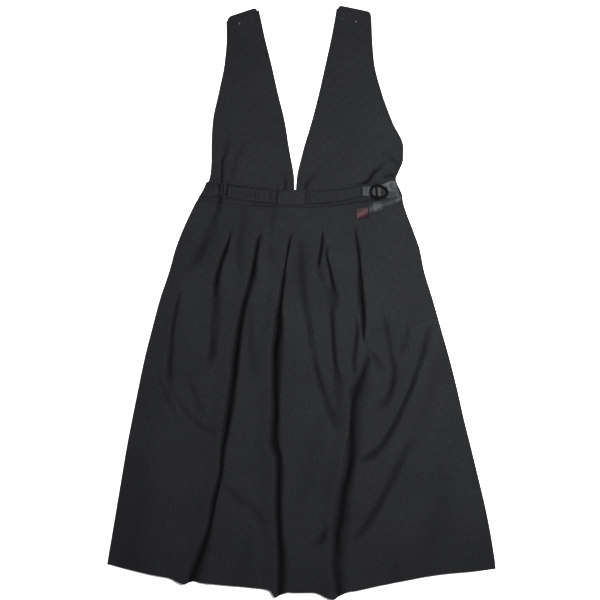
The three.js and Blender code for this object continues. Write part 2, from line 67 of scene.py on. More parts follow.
HEM = [(-400, -521), (-344, -534), (-288, -546), (-172, -563), (-77, -572), (0, -580), (90, -578), (162, -565), (292, -542), (361, -536.5), (400, -532)]
HEM_FEET = [  # x, reach, left, right
    (-234, 7, 34, 24), (-51, 13, 12, 28), (65, 13.4, 42, 34),
]
WAIST = [  # x, top, bottom, beltTop, beltBottom
    (-200, 242.5, 204, 236, 211.5), (-172, 237.6, 200.3, 233.4, 211), (-146, 234.2, 197.1, 232.4, 209.6),
    (-110, 230, 194, 227.6, 204), (-78, 226.8, 191.5, 224.8, 200), (-44, 223.8, 190.7, 220.6, 197.4),
    (6, 223.2, 189.9, 219.8, 197), (48, 223.4, 191.5, 221.6, 198.8), (88, 227, 196.4, 224.8, 203.5),
    (120, 233, 201.9, 231.8, 211.5), (158, 239.7, 203.9, 232, 212), (206, 247, 199.6, 232, 212),
]
WAIST_SIDES = [(250, -185, 189), (240, -189, 191.5), (226, -195, 198), (213, -202.5, 203), (203, -208, 204), (190, -215.5, 207)]
BIBS = [  # y, leftOuter, leftInner, rightInner, rightOuter
    (610, -146, -90, 75.5, 134), (565, -148.5, -80, 68, 141), (530, -148, -72.5, 61.5, 142.5), (480, -152, -60, 50.5, 146.5),
    (420, -163.8, -46.5, 37, 161.5), (360, -176, -32, 21.5, 183.5), (310, -178.5, -24, 6.5, 205), (285, -178.5, -19.5, 0, 204.5),
    (260, -180, -15, -6, 195), (246, -183, -13.5, -8, 190), (215, -190, -13, -10, 196),
]
TABS = {"left": ((-146, 571), (-88, 590)), "right": ((75, 594.6), (140, 581))}

# Grooves of the pleats. Each row: y, x of the middle, half of the open slit, how wide the cloth rounds down into it
# at the left and at the right, share of the drop, the rolls that stand up at its left and right, and how dark the
# painted shade in it is.
GROOVES = {
    "p1": [(195, -137, 0.3, 4, 4, 0, 0, 0, 0), (154, -138.4, 0.3, 4, 4, 0, 0, 0, 0), (147, -139.2, 0.2, 4, 4, 0.4, 0.6, 0.6, 0.4),
           (138, -140.6, 0.3, 5, 5.5, 0.85, 1.6, 1.4, 0.3), (122, -144.6, 0.7, 5, 4.5, 0.95, 3.2, 2.2, 0.94),
           (98, -152.8, 1.4, 6, 7.5, 1, 4.6, 3, 0.98), (80, -159, 1.5, 6.5, 5.5, 1, 5, 3.2, 0.84),
           (40, -169, 1.5, 9.5, 11.5, 0.98, 4.4, 3.4, 0.91), (16, -170.8, 0.2, 12, 15, 0.9, 3.4, 3, 0.74),
           (0, -171.1, 0, 11, 14, 0.8, 2.6, 2.6, 0.78), (-50, -175, 0, 9.5, 18, 0.74, 2, 2.4, 0.66),
           (-78, -177, 0, 6.5, 14, 0.8, 2, 2.4, 0.63), (-102, -178, 0, 12.5, 15, 0.84, 1.8, 2.4, 0.59),
           (-120, -183.6, 0, 8, 11, 0.5, 1, 1.6, 0.5), (-138, -187, 0, 8, 10, 0, 0, 0.4, 0), (-235, -204, 0.3, 7, 7, 0, 0, 0, 0),
           (-355, -230, 0.3, 7, 7, 0, 0, 0, 0), (-475, -260, 0.3, 7, 7, 0, 0, 0, 0), (-600, -291, 0.3, 7, 7, 0, 0, 0, 0)],
    "p2": [(195, -78, 0.3, 4, 4, 0, 0, 0, 0), (148, -76.4, 0.3, 4, 4, 0, 0, 0, 0), (142, -77.2, 0.2, 4, 4, 0.5, 1, 1, 0.5),
           (128, -83.4, 1.5, 7.5, 6, 0.95, 3.2, 2.2, 0.75), (92, -90.8, 1.6, 5, 6, 1, 5.4, 4.6, 0.9),
           (60, -96, 2.6, 5.5, 10.5, 1, 6, 4.6, 0.96), (30, -104.1, 1.3, 5.5, 13.5, 1, 5.6, 4, 0.8),
           (0, -112.2, 2.2, 7, 8.5, 1, 5.6, 4, 0.88), (-53, -122.8, 2.2, 7.5, 9, 1, 6.2, 4.6, 0.9),
           (-100, -128, 2.3, 13, 8, 1, 6.4, 5.2, 0.96), (-160, -135, 2.7, 10, 8.5, 1, 6.2, 5, 0.91),
           (-211, -142.3, 2.6, 10.5, 11, 1, 6.2, 4.8, 0.85), (-261, -149.4, 1.5, 12, 7.5, 1, 6.2, 4.6, 0.95),
           (-299, -156.8, 0.7, 7.5, 8.5, 1, 6, 4.6, 0.82), (-340, -160.6, 0.7, 6, 8, 1, 6, 4.4, 0.62),
           (-395, -172.2, 1.2, 11, 5.5, 1, 6.2, 4.2, 0.75), (-432, -179.6, 1, 6, 7, 1, 6.4, 4.2, 0.59),
           (-472, -189.5, 1.8, 7.5, 10.5, 1, 6.8, 4.2, 0.8), (-512, -202.8, 2.8, 14, 18, 1, 7.2, 4, 0.88),
           (-552, -217.9, 4.1, 11, 25.5, 1, 7.2, 3.6, 0.81), (-600, -234, 2.6, 13, 16, 1, 7.2, 3.4, 1)],
    "p3": [(195, -16, 0.3, 4, 4, 0, 0, 0, 0), (150, -15.2, 0.3, 4, 4, 0, 0, 0, 0),
           (142, -16.4, 0.2, 3.6, 3.6, 0.5, 0.8, 0.8, 0.5), (128, -21.2, 0.3, 8, 5.5, 0.9, 2.2, 1.8, 0.71),
           (107, -25.2, 0.6, 5, 3.5, 0.97, 3.6, 3.4, 0.86), (80, -30.2, 0.5, 2.5, 3, 1, 4.6, 4.8, 0),
           (40, -35.9, 1.2, 4.5, 5.5, 1, 5.4, 5.4, 0.73), (0, -40.8, 1.4, 5.5, 5.5, 1, 6, 5.6, 0.93),
           (-25, -43.6, 2.9, 9.5, 7, 1, 6.4, 5.6, 0.97), (-50, -44, 4, 11.5, 8, 1, 6.6, 5.6, 0.99),
           (-100, -50.6, 4.4, 7, 17.5, 1, 6.6, 5.4, 0.98), (-160, -51.1, 3.6, 8, 12, 1, 6.4, 5.2, 0.91),
           (-220, -49.2, 2.3, 13.5, 7, 1, 6.2, 5, 0.92), (-262, -52.4, 2.7, 11.5, 11.5, 1, 6.2, 4.8, 0.85),
           (-282, -52, 3.7, 15.5, 8.5, 1, 6.2, 4.8, 0.78), (-313, -44, 2.2, 10.5, 8.5, 1, 6.4, 4.6, 0.78),
           (-349, -44.4, 2.4, 8, 13.5, 1, 6.6, 4.4, 0.84), (-400, -45.1, 2.3, 9.5, 8.5, 1, 6.8, 4.2, 0.87),
           (-460, -43.8, 2.4, 7, 10.5, 1, 7.2, 4, 0.83), (-515, -40.1, 3, 8, 15.5, 1, 7.8, 3.6, 0.84),
           (-555, -40.6, 3, 8.5, 17.5, 1, 8.2, 3.2, 0.74), (-600, -43.6, 2, 10, 14, 1, 8.4, 3, 1)],
    "q4": [(195, 42.6, 0.3, 3, 3, 0, 0, 0, 0), (152, 43, 0.3, 3, 3, 0, 0, 0, 0), (144, 43.4, 0.2, 3, 9, 0.55, 0.8, 0, 0.64),
           (130, 42.8, 1.1, 3, 8.5, 0.95, 2.6, 0.4, 1), (113, 41, 1.2, 3, 8.5, 1, 4.4, 1.2, 0.94),
           (92, 38.6, 1.4, 5.5, 3, 1, 4.8, 2, 0.81), (77, 35.1, 0.5, 4, 7, 0.85, 3.6, 2, 1),
           (67, 33.8, 0.1, 4.4, 5, 0.2, 2, 1.2, 0.2), (60, 33, 0.1, 5, 5, 0, 0.8, 0.6, 0), (0, 34, 0.3, 5, 5, 0, 0, 0, 0),
           (-60, 36, 0.3, 5, 5, 0, 0, 0, 0), (-130, 40, 0.3, 5, 5, 0, 0, 0, 0), (-200, 43, 0.3, 5, 5, 0, 0, 0, 0),
           (-295, 30, 0.3, 5, 5, 0, 0, 0, 0), (-355, 18, 0.3, 5, 5, 0, 0, 0, 0), (-415, 6, 0.3, 5, 5, 0, 0, 0, 0),
           (-475, -1, 0.3, 5, 5, 0, 0, 0, 0), (-600, -10, 0.3, 5, 5, 0, 0, 0, 0)],
    "p4": [(195, 45.4, 0.3, 3, 3, 0, 0, 0, 0), (124, 47.4, 0.2, 3, 3, 0, 0, 0, 0), (110, 49.6, 0.2, 3, 10, 0.6, 0, 2, 0.31),
           (92, 51, 0.3, 2.5, 4, 0.92, 1.2, 4.2, 0.44), (74, 55.4, 0.8, 3, 4.5, 0.98, 2, 4.8, 0.32),
           (42, 61.8, 0.8, 4, 6.5, 0.96, 3, 4.6, 0.64), (22, 65.8, 0.4, 14, 9.5, 0.88, 3, 3.8, 0.63),
           (2, 64.4, 0, 17, 16, 0.72, 2.6, 3, 1), (-22, 61, 0, 6.5, 10, 0.76, 2.4, 2.8, 0.91),
           (-51, 62.8, 0, 6.5, 10, 0.86, 2.2, 2.6, 0.71), (-93, 64.9, 0, 6.5, 10, 0.88, 2.2, 2.4, 0.6),
           (-129, 69.1, 0, 7, 6.5, 0.78, 2, 2.4, 0.72), (-157, 71.2, 0, 7, 16, 0.62, 1.4, 2.4, 0.64),
           (-193, 71.4, 0, 11, 9, 0.34, 0.6, 1.2, 0.34), (-228, 67, 0, 10, 9, 0, 0, 0, 0), (-295, 52, 0.3, 7, 7, 0, 0, 0, 0),
           (-355, 38, 0.3, 7, 7, 0, 0, 0, 0), (-415, 26, 0.3, 7, 7, 0, 0, 0, 0), (-475, 18, 0.3, 7, 7, 0, 0, 0, 0),
           (-600, 9, 0.3, 7, 7, 0, 0, 0, 0)],
    "p5": [(195, 108.6, 0.3, 4, 4, 0, 0, 0, 0), (162, 108.4, 0.3, 4, 4, 0, 0, 0, 0), (154, 109, 0.2, 4, 4, 0.5, 0.6, 0.8, 0.5),
           (136, 109.8, 0.5, 6, 7, 0.9, 1.8, 2.4, 0.6), (113, 113.4, 0.8, 6, 7.5, 0.98, 3, 4, 0.75),
           (80, 116.6, 0.9, 4.5, 4.5, 1, 4, 5, 0.75), (40, 119.4, 1.8, 9.5, 4.5, 1, 4.4, 5.2, 0.73),
           (0, 122.8, 1.1, 15, 8, 1, 4.2, 5, 0.93), (-28, 125.2, 1.5, 10, 5, 0.98, 3.8, 4.6, 0.93),
           (-51, 124.8, 1.2, 6, 5.5, 0.95, 3.4, 4.2, 0.75), (-70, 124.1, 0.3, 2.5, 5, 0.6, 3.2, 3.4, 0.97),
           (-82, 128, 0.1, 6, 6, 0.1, 3.2, 2.6, 0.1), (-98, 132, 0.1, 8, 8, 0.1, 3.4, 2.4, 0.1),
           (-112, 133.6, 0.2, 8.5, 7, 0.55, 4, 2.2, 0.92), (-135, 127.4, 0.8, 12, 11, 0.85, 5, 2, 1),
           (-160, 118.1, 3, 18.5, 19.5, 0.97, 6.2, 1.8, 0.77), (-182, 110.6, 4.3, 13.5, 22.5, 1, 7, 1.8, 0.76),
           (-200, 104.4, 4, 2.5, 29, 1, 8, 1.8, 0.76), (-225, 102.8, 4.2, 2.5, 29, 1, 8.4, 2, 0.78),
           (-260, 101.4, 4.2, 4, 28, 1, 8.4, 2, 0.85), (-300, 102, 4.2, 17.5, 19, 1, 8, 2.2, 0.83),
           (-342, 96.3, 2.6, 18, 14, 1, 8.2, 2.4, 0.9), (-375, 87.6, 3.5, 18, 18.5, 1, 8.4, 2.2, 0.86),
           (-405, 83.6, 4, 19, 19.5, 1, 8.4, 2.2, 0.79), (-435, 80.1, 4.1, 21.5, 23, 1, 8.6, 2.2, 0.82),
           (-465, 73.6, 3, 16, 27, 1, 8.6, 2.2, 0.84), (-500, 72.4, 3.5, 13, 24.5, 1, 8.6, 2, 0.69),
           (-530, 69.5, 3.9, 10, 29.5, 1, 8.6, 2, 0.61), (-560, 74.6, 2.6, 13, 26, 1, 8.6, 2, 0.66),
           (-600, 76, 2.0, 13, 26, 1, 8.6, 2, 0.62)],
}
# Softer folds. Each row: y, x of the trough, depth, half-width; then the roll at its left and at its right.
FOLDS = [
    ([(132, -1, 0, 9), (110, -0.4, 2.8, 9.5), (60, 1, 4, 10), (10, 5.8, 3.6, 7.5), (-30, 12.5, 3.3, 7.5), (-60, 18.4, 4.3, 5),
      (-100, 23.6, 2.8, 6), (-135, 31.4, 4.7, 5), (-164, 39.3, 3.5, 5.5), (-201, 51.4, 3.2, 6.5), (-228, 62.2, 3.8, 9.5),
      (-260, 72, 0, 9)], 0.6, 0.9),
    ([(70, 35, 0, 7), (56, 37.4, 2.7, 6), (34, 48, 0.8, 8), (14, 62, 1.8, 8), (2, 68, 0, 8)], 0.2, 0),
    ([(-8, 109, 0, 3.4), (-30, 110.4, 0.9, 3.5), (-56, 112, 4.6, 4), (-89, 109.2, 5.5, 3.5), (-118, 105.7, 6.1, 3),
      (-138, 106.8, 3.7, 4.5), (-156, 105, 0, 6)], 0.8, 0.6),
    ([(0, 160, 0, 6), (-26, 164.8, 0.9, 6.5), (-56, 171.6, 2.9, 5), (-78, 175.8, 2.5, 5), (-112, 181.4, 3.1, 4), (-135, 186.6, 4.1, 7),
      (-153, 185.8, 4.7, 7), (-182, 178, 5.3, 5), (-200, 169.6, 3.7, 8.5), (-222, 150, 0, 12)], 0.9, 0.6),
    ([(-44, 262, 0, 8), (-62, 255.2, 4.1, 6), (-101, 245.4, 5.2, 6), (-128, 235.8, 4.7, 4.5), (-169, 221.4, 6.6, 3.5),
      (-209, 203.7, 6.6, 3.5), (-248, 185.4, 6.6, 4.5), (-284, 164.3, 6.6, 4.5), (-307, 142, 6.2, 8), (-323, 116, 0, 12)], 1.4, 0.8),
    ([(-240, 240, 0, 12), (-271, 226, 1.4, 11), (-305, 205.8, 3.8, 9.5), (-350, 184.8, 4.1, 9.5), (-382, 168.1, 4.3, 7.5),
      (-432, 139.8, 5.1, 7.5), (-469, 115, 2.8, 8.5), (-490, 100, 0, 10)], 0.9, 0.7),
    ([(24, -243, 0, 3.5), (8, -245.8, 3.5, 3.5), (-21, -250.6, 6.6, 3), (-59, -257.6, 6.6, 3), (-95, -260, 4.9, 4),
      (-125, -262.6, 5.5, 4.5), (-165, -262.6, 2.1, 6), (-190, -258, 0, 8)], 1.2, 0.6),
    ([(-140, -288, 0, 8), (-165, -278, 1.2, 6.5), (-190, -268, 2.2, 6.5), (-215, -255.8, 1.4, 8), (-240, -240, 0, 9)], 0.2, 0.2),
    ([(-182, -258, 0, 8), (-200, -242.8, 2, 5.5), (-225, -226.4, 2.1, 5.5), (-252, -192, 2.6, 7), (-268, -170, 0, 9)], 0.3, 0.2),
    ([(-140, -230, 0, 8), (-152, -225, 1.1, 6), (-176, -216.7, 2.5, 7), (-215, -201.9, 2.3, 7), (-235, -190, 0, 8)], 0.2, 0.2),
    ([(-366, -130, 0, 8), (-386, -118, 0.5, 7), (-420, -89, 2.5, 8), (-468, -76, 0.5, 8), (-500, -72, 0, 9)], 0.3, 0.2),
    ([(-360, -154, 0, 8), (-376, -142.4, 2.3, 7.5), (-396, -126, 2.9, 7), (-410, -112, 0, 9)], 0.2, 0.2),
    ([(-440, 56, 0, 9), (-458, 48, 3.1, 6.5), (-476, 40, 4.5, 9.5), (-492, 22, 0.7, 9), (-506, 6, 0, 10)], 0.2, 0.6),
    ([(205, -161, 2.6, 9), (190, -164, 2.8, 9), (150, -172, 2.6, 10), (125, -187.2, 4.6, 11), (95, -203.7, 4.3, 13), (60, -220, 0, 18)], 0.6, 0.6),
    ([(176, -116, 0, 7), (160, -114.6, 2.6, 8), (124, -122.9, 3.3, 6), (84, -124.6, 2.3, 10.5), (50, -126, 0, 10)], 0.2, 0.2),
    ([(180, -58, 0, 6), (165, -58, 2.6, 7.5), (124, -58, 1, 7), (98, -60.4, 1.9, 8.5), (70, -60, 0, 9)], 0.2, 0.2),
    ([(0, -98, 0, 8), (-31, -99.2, 2.2, 7), (-85, -98, 2.4, 8.5), (-125, -96.1, 2.7, 10.5), (-160, -92, 0, 10)], 0.3, 0.2),
    ([(-40, 214, 0, 5), (-61, 214, 2.4, 3.5), (-92, 203.8, 2.4, 6), (-112, 198, 0, 7)], 0.3, 0.3),
    ([(-92, 132, 0, 4), (-99, 137.6, 1.6, 5.5), (-110, 147.4, 3.6, 4.5), (-126, 155.6, 2.6, 6.5), (-140, 164, 0, 8)], 0.2, 0.4),
    ([(-190, 100, 0, 16), (-240, 40, 0.8, 20), (-330, 20, 1.2, 22), (-420, 0, 1, 22), (-470, -8, 0, 20)], 0, 0.2),
    ([(-60, 292, 0, 16), (-110, 282, 1.2, 18), (-180, 262, 1.4, 20), (-250, 240, 0.8, 22), (-300, 220, 0, 22)], 0.3, 0.3),
    ([(-300, 300, 0, 22), (-380, 286, 1.1, 26), (-460, 262, 1.4, 28), (-560, 240, 1, 30), (-600, 236, 0.6, 30)], 0.2, 0.3),
    ([(-300, -320, 0, 22), (-380, -318, 1, 26), (-460, -330, 1.3, 28), (-560, -338, 1, 30), (-600, -338, 0.6, 30)], 0.3, 0.2),
    ([(-430, -96, 0, 20), (-500, -108, 1.2, 22), (-560, -118, 1.2, 24), (-600, -122, 0.8, 24)], 0.2, 0.3),
    ([(-500, 180, 0, 20), (-550, 186, 1.2, 22), (-600, 190, 1, 24)], 0.2, 0.3),
]
BIB_CREASES = [  # side, x0, y0, x1, y1, depth, width, lift, reach
    ("left", -120, 470, -112, 300, 0.8, 20, 0.4, 30), ("right", 96, 470, 110, 320, 0.8, 22, 0.4, 30),
    ("right", 200, 258, 160, 248, 2.0, 5, 0.6, 12),
]
# Creases of the bibs. Each row: y, x of the trough, depth, half-width, darkness of the painted shade in it; then the
# roll at its left and right.
BIB_FOLDS = [
    ("left", [(352, -146, 0, 6, 0), (334, -147, 1.2, 5.5, 0.12), (300, -150, 2.8, 4.2, 0.60), (279, -157, 3.6, 3.4, 0.84), (258, -157.6, 3.8, 3.2, 0.88),
              (241, -158, 3.2, 3.2, 0.84), (233, -158.4, 2.0, 3.2, 0.70)], 1.2, 1.4),
    ("left", [(326, -117, 0, 6, 0), (303, -120.4, 1.3, 5, 0.20), (287, -129.8, 1.8, 5, 0.34), (259, -136.4, 1.5, 5, 0.34), (240, -141, 0, 5, 0.05)], 0.4, 0.5),
    ("left", [(284, -28.4, 0, 3, 0), (261, -29.4, 0.9, 3, 0.14), (243, -30.6, 1.8, 3.2, 0.60), (228, -31.2, 1.8, 3.4, 0.80)], 0.4, 0.3),
    ("left", [(250, -78, 0, 5, 0), (240, -80, 0.7, 5, 0.10), (229, -82, 0.6, 5, 0.12)], 0.2, 0.2),
    ("right", [(262, 28, 0, 3.6, 0), (250, 23.6, 1.2, 3.6, 0.40), (238.6, 12.2, 2.0, 3.6, 0.74), (227, 9.6, 1.6, 3.4, 0.74)], 0.5, 0.9),
    ("right", [(282, 166.6, 0, 5, 0), (269, 157.4, 2.4, 4.6, 0.60), (259, 146, 4.0, 4.6, 0.88), (245.2, 136.8, 4.2, 4.4, 0.92), (238, 126, 2.8, 4, 0.85), (234, 112, 0, 4, 0.2)], 1.8, 1.6),
    ("right", [(292, 172, 0, 5, 0), (286, 182, 1.4, 4.4, 0.36), (279, 190, 1.6, 4.4, 0.42), (270, 197, 0, 5, 0.1)], 0.6, 0.6),
]
# Strokes of painted shade along the gathers, seams and loop edges at the waist, and a painted shadow on the bib above
# the tape, in mm: x and y at each end, half-width, darkness.
PAINTED_SHADE_STROKES = [
    (-163, 238, -163, 218, 2.2, 0.86), (-155.4, 237, -155.0, 215, 1.5, 0.72), (-144.4, 240, -150.4, 211, 2.0, 0.86), (-146, 218, -151, 206, 2.2, 0.5), (-171, 215, -152, 213.6, 2.4, 0.62),
    (-166, 212, -160, 204, 3.4, 0.70), (-161.2, 212, -161.6, 196, 3.4, 0.84), (-176, 238, -176, 222, 2.2, 0.25), (-184, 238, -188, 214, 3.0, 0.16),
    (-137, 229, -139, 215, 2.2, 0.24), (-127, 226, -129, 212, 2.0, 0.22), (-116, 225, -118, 210, 2.0, 0.28), (-108, 225, -110, 208, 1.8, 0.20),
    (-100.5, 223, -102, 208, 1.9, 0.34), (-92, 223, -91, 206, 2.4, 0.50), (-83, 222, -85, 204, 2.0, 0.24), (-74, 221, -75, 205, 2.0, 0.20),
    (-62, 221, -60, 204, 2.4, 0.50), (-53, 219, -54, 202, 2.0, 0.30), (-47, 224, -49, 196, 2.0, 0.66),
    (-150, 209.5, -104, 202, 2.0, 0.22), (-104, 201.6, -50, 197.2, 2.0, 0.50), (-100, 195.5, -48, 191.5, 2.2, 0.32),
    (10.2, 221, 8.4, 196, 2.0, 0.44), (17.5, 219, 16.5, 199, 2.0, 0.46), (12, 196.2, 66, 200, 2.2, 0.42), (66, 200, 134, 212, 2.2, 0.38),
    (50, 191.2, 90, 197, 2.2, 0.30), (90, 197, 146, 205, 2.4, 0.42), (34, 219, 35, 203, 3.0, 0.12), (71, 221, 71, 204, 3.0, 0.15), (90, 224, 88, 209, 3.0, 0.18),
    (105, 229, 104, 213, 3.0, 0.16), (122, 229, 120, 216, 2.4, 0.30),
    (-144, 234.6, -104, 229.6, 2.4, 0.40), (-104, 229.6, -60, 226, 2.0, 0.18), (52, 223.8, 104, 229.6, 2.2, 0.18), (-192, 240.5, -168, 235.6, 2.4, 0.24),
    (-204, 211, -176, 208.6, 2.2, 0.18),
    (-162, 203, -165, 178, 5.5, 0.56), (-165, 182, -180, 149, 6.0, 0.50), (-178, 152, -190, 134, 7.0, 0.34), (-113, 193, -116, 150, 5.0, 0.24),
    (-49, 193, -57, 156, 4.2, 0.32), (-94, 149, -76, 149, 3.0, 0.16), (22, 193, 14, 160, 6.0, 0.14), (-30, 190, -30, 170, 3.0, 0.12),
    (164, 249.5, 187, 256, 3.8, 0.66),
]
TAPE_RUN = [(122.6, 231.8, 123.4, 213.2), (136, 231.8, 137, 212.6), (152, 232.6, 152, 211.4), (165, 237, 166, 209.4),
            (176, 242, 180, 207.2), (184, 243.4, 192, 206.2), (189, 242.6, 200, 206)]
TAPE_TAIL = [(200, 213, 200.4, 203.2), (190, 210.4, 191.4, 198.2), (178, 207, 181, 192.6), (166, 204.4, 169, 187), (150.5, 202, 156, 182.6), (135, 193.6, 135.6, 176)]
TAPE_TIP = [(134.4, 190, 134.8, 169.2), (123, 189, 123.6, 168.6), (110.6, 187.2, 111.6, 168.2)]
RING = dict(x=155.5, y=220.6, half=19.3, rise=15, rim=5.4, thick=3, bar=3.2, barX=-4.6, tilt=-0.08)
STUDS = [(-123.2, 557.6, "stud_1"), (-98.4, 567.4, "stud_2"), (82.6, 567, "stud_3"), (110.2, 561.4, "stud_4")]

# ------------------------------------------------------------------ stage, light, camera
scene = bpy.context.scene
scene.view_settings.view_transform = "Standard"
scene.view_settings.look = "None"
scene.view_settings.exposure = 0.0
scene.view_settings.gamma = 0.66


def principled(name):
    mat = bpy.data.materials.new(name)
    mat.use_nodes = True
    tree = mat.node_tree
    return mat, tree, tree.nodes["Principled BSDF"]


bpy.ops.mesh.primitive_plane_add(size=30, location=(0, 0, -0.0004))
floor = bpy.context.object
floor.name = "floor"
mat, tree, shader = principled("floor_paper")
shader.inputs["Base Color"].default_value = (0.93, 0.93, 0.93, 1)
shader.inputs["Roughness"].default_value = 1.0
shader.inputs["Specular IOR Level"].default_value = 0.0
floor.data.materials.append(mat)

world = bpy.data.worlds.new("studio")
world.use_nodes = True
world.node_tree.nodes["Background"].inputs["Color"].default_value = (1, 1, 1, 1)
world.node_tree.nodes["Background"].inputs["Strength"].default_value = 0.72
scene.world = world


def area_light(name, at, look, size, power):
    light = bpy.data.lights.new(name, "AREA")
    light.shape = "DISK"
    light.size = size
    light.energy = power
    obj = bpy.data.objects.new(name, light)
    scene.collection.objects.link(obj)
    obj.location = at
    d = np.array(look, float) - np.array(at, float)
    d /= np.linalg.norm(d)
    obj.rotation_euler = (math.acos(-d[2]), 0, math.atan2(-d[0], d[1]) if abs(d[0]) + abs(d[1]) > 1e-6 else 0)
    return obj


key = area_light("key", (0.42, 0.34, 2.7), (0.27, 0.07, 0.0), 0.6, 15.0)
key.data.spread = math.radians(59)

cam = bpy.data.cameras.new("camera")
cam.type = "PERSP"
cam.lens = 100
cam.sensor_width = 36
cam.sensor_fit = "HORIZONTAL"
cam.clip_start = 0.05
cam.clip_end = 60
camera = bpy.data.objects.new("camera", cam)
scene.collection.objects.link(camera)
camera.location = (-0.0018, 0.0046, 3.3333 + 0.005)
camera.rotation_euler = (0, 0, 0)
scene.camera = camera

# ------------------------------------------------------------------ helpers


def smooth(t):
    c = np.clip(t, 0.0, 1.0)
    return c * c * (3 - 2 * c)


def lerp(a, b, t):
    return a + (b - a) * t


class Column:
    """One column of a table against its first, joined smoothly and without overshoot."""

    def __init__(self, rows, column, key=0):
        pairs = sorted((float(r[key]), float(r[column])) for r in rows)
        self.x = np.array([p[0] for p in pairs])
        self.y = np.array([p[1] for p in pairs])
        h = np.diff(self.x)
        s = np.diff(self.y) / h
        m = np.empty_like(self.y)
        m[0], m[-1] = s[0], s[-1]
        a, b = s[:-1], s[1:]
        both = a * b > 0
        m[1:-1] = np.where(both, 2 * a * b / np.where(both, a + b, 1), 0)
        self.h, self.m = h, m

    def __call__(self, at):
        at = np.clip(np.asarray(at, float), self.x[0], self.x[-1])
        i = np.clip(np.searchsorted(self.x, at, side="right") - 1, 0, len(self.h) - 1)
        h = self.h[i]
        t = (at - self.x[i]) / h
        t2, t3 = t * t, t * t * t
        return ((2 * t3 - 3 * t2 + 1) * self.y[i] + (t3 - 2 * t2 + t) * h * self.m[i]
                + (3 * t2 - 2 * t3) * self.y[i + 1] + (t3 - t2) * h * self.m[i + 1])


def field(x, y, cell, seed, stretch=1.0):
    """Smooth random field between -1 and 1, with lumps of a given size."""
    rng = np.random.RandomState(seed)
    n = int(1500 / cell) + 4
    lattice = rng.uniform(-1, 1, (n, int(n / stretch) + 4))
    u = (np.asarray(x, float) + 750) / cell
    v = (np.asarray(y, float) + 750) / (cell * stretch)
    i = np.clip(np.floor(u).astype(int), 0, lattice.shape[0] - 2)
    j = np.clip(np.floor(v).astype(int), 0, lattice.shape[1] - 2)
    a, b = smooth(u - i), smooth(v - j)
    return (lattice[i, j] * (1 - a) * (1 - b) + lattice[i + 1, j] * a * (1 - b)
            + lattice[i, j + 1] * (1 - a) * b + lattice[i + 1, j + 1] * a * b)


def link(name, mesh):
    obj = bpy.data.objects.new(name, mesh)
    scene.collection.objects.link(obj)
    return obj


def polygons(name, verts, faces, uvs=None, smooth_shade=True, painted_shade=None):
    """Object from vertex array (mm), one or more arrays of equal-sided faces, and one uv for each vertex."""
    groups = faces if isinstance(faces, list) else [faces]
    groups = [np.asarray(g, np.int32) for g in groups if len(g)]
    flat = np.concatenate([g.ravel() for g in groups])
    sizes = np.concatenate([np.full(len(g), g.shape[1], np.int32) for g in groups])
    starts = np.concatenate([[0], np.cumsum(sizes)[:-1]]).astype(np.int32)
    mesh = bpy.data.meshes.new(name)
    mesh.vertices.add(len(verts))
    mesh.vertices.foreach_set("co", (np.asarray(verts, float) * MM).ravel())
    mesh.loops.add(flat.size)
    mesh.loops.foreach_set("vertex_index", flat)
    mesh.polygons.add(len(sizes))
    mesh.polygons.foreach_set("loop_start", starts)
    mesh.polygons.foreach_set("loop_total", sizes)
    mesh.update(calc_edges=True)
    if uvs is not None:
        layer = mesh.uv_layers.new(name="cloth")
        layer.data.foreach_set("uv", (np.asarray(uvs, float) * MM)[flat].ravel())
    if painted_shade is not None:
        mesh.attributes.new("painted_shade", "FLOAT", "POINT").data.foreach_set("value", np.asarray(painted_shade, float))
    mesh.polygons.foreach_set("use_smooth", np.full(len(sizes), smooth_shade))
    mesh.validate()
    return link(name, mesh)


def normals(mid):
    across = np.empty_like(mid)
    across[:, 1:-1] = mid[:, 2:] - mid[:, :-2]
    across[:, 0] = mid[:, 1] - mid[:, 0]
    across[:, -1] = mid[:, -1] - mid[:, -2]
    down = np.empty_like(mid)
    down[1:-1] = mid[2:] - mid[:-2]
    down[0] = mid[1] - mid[0]
    down[-1] = mid[-1] - mid[-2]
    n = np.cross(down, across)
    return n / np.linalg.norm(n, axis=2, keepdims=True)


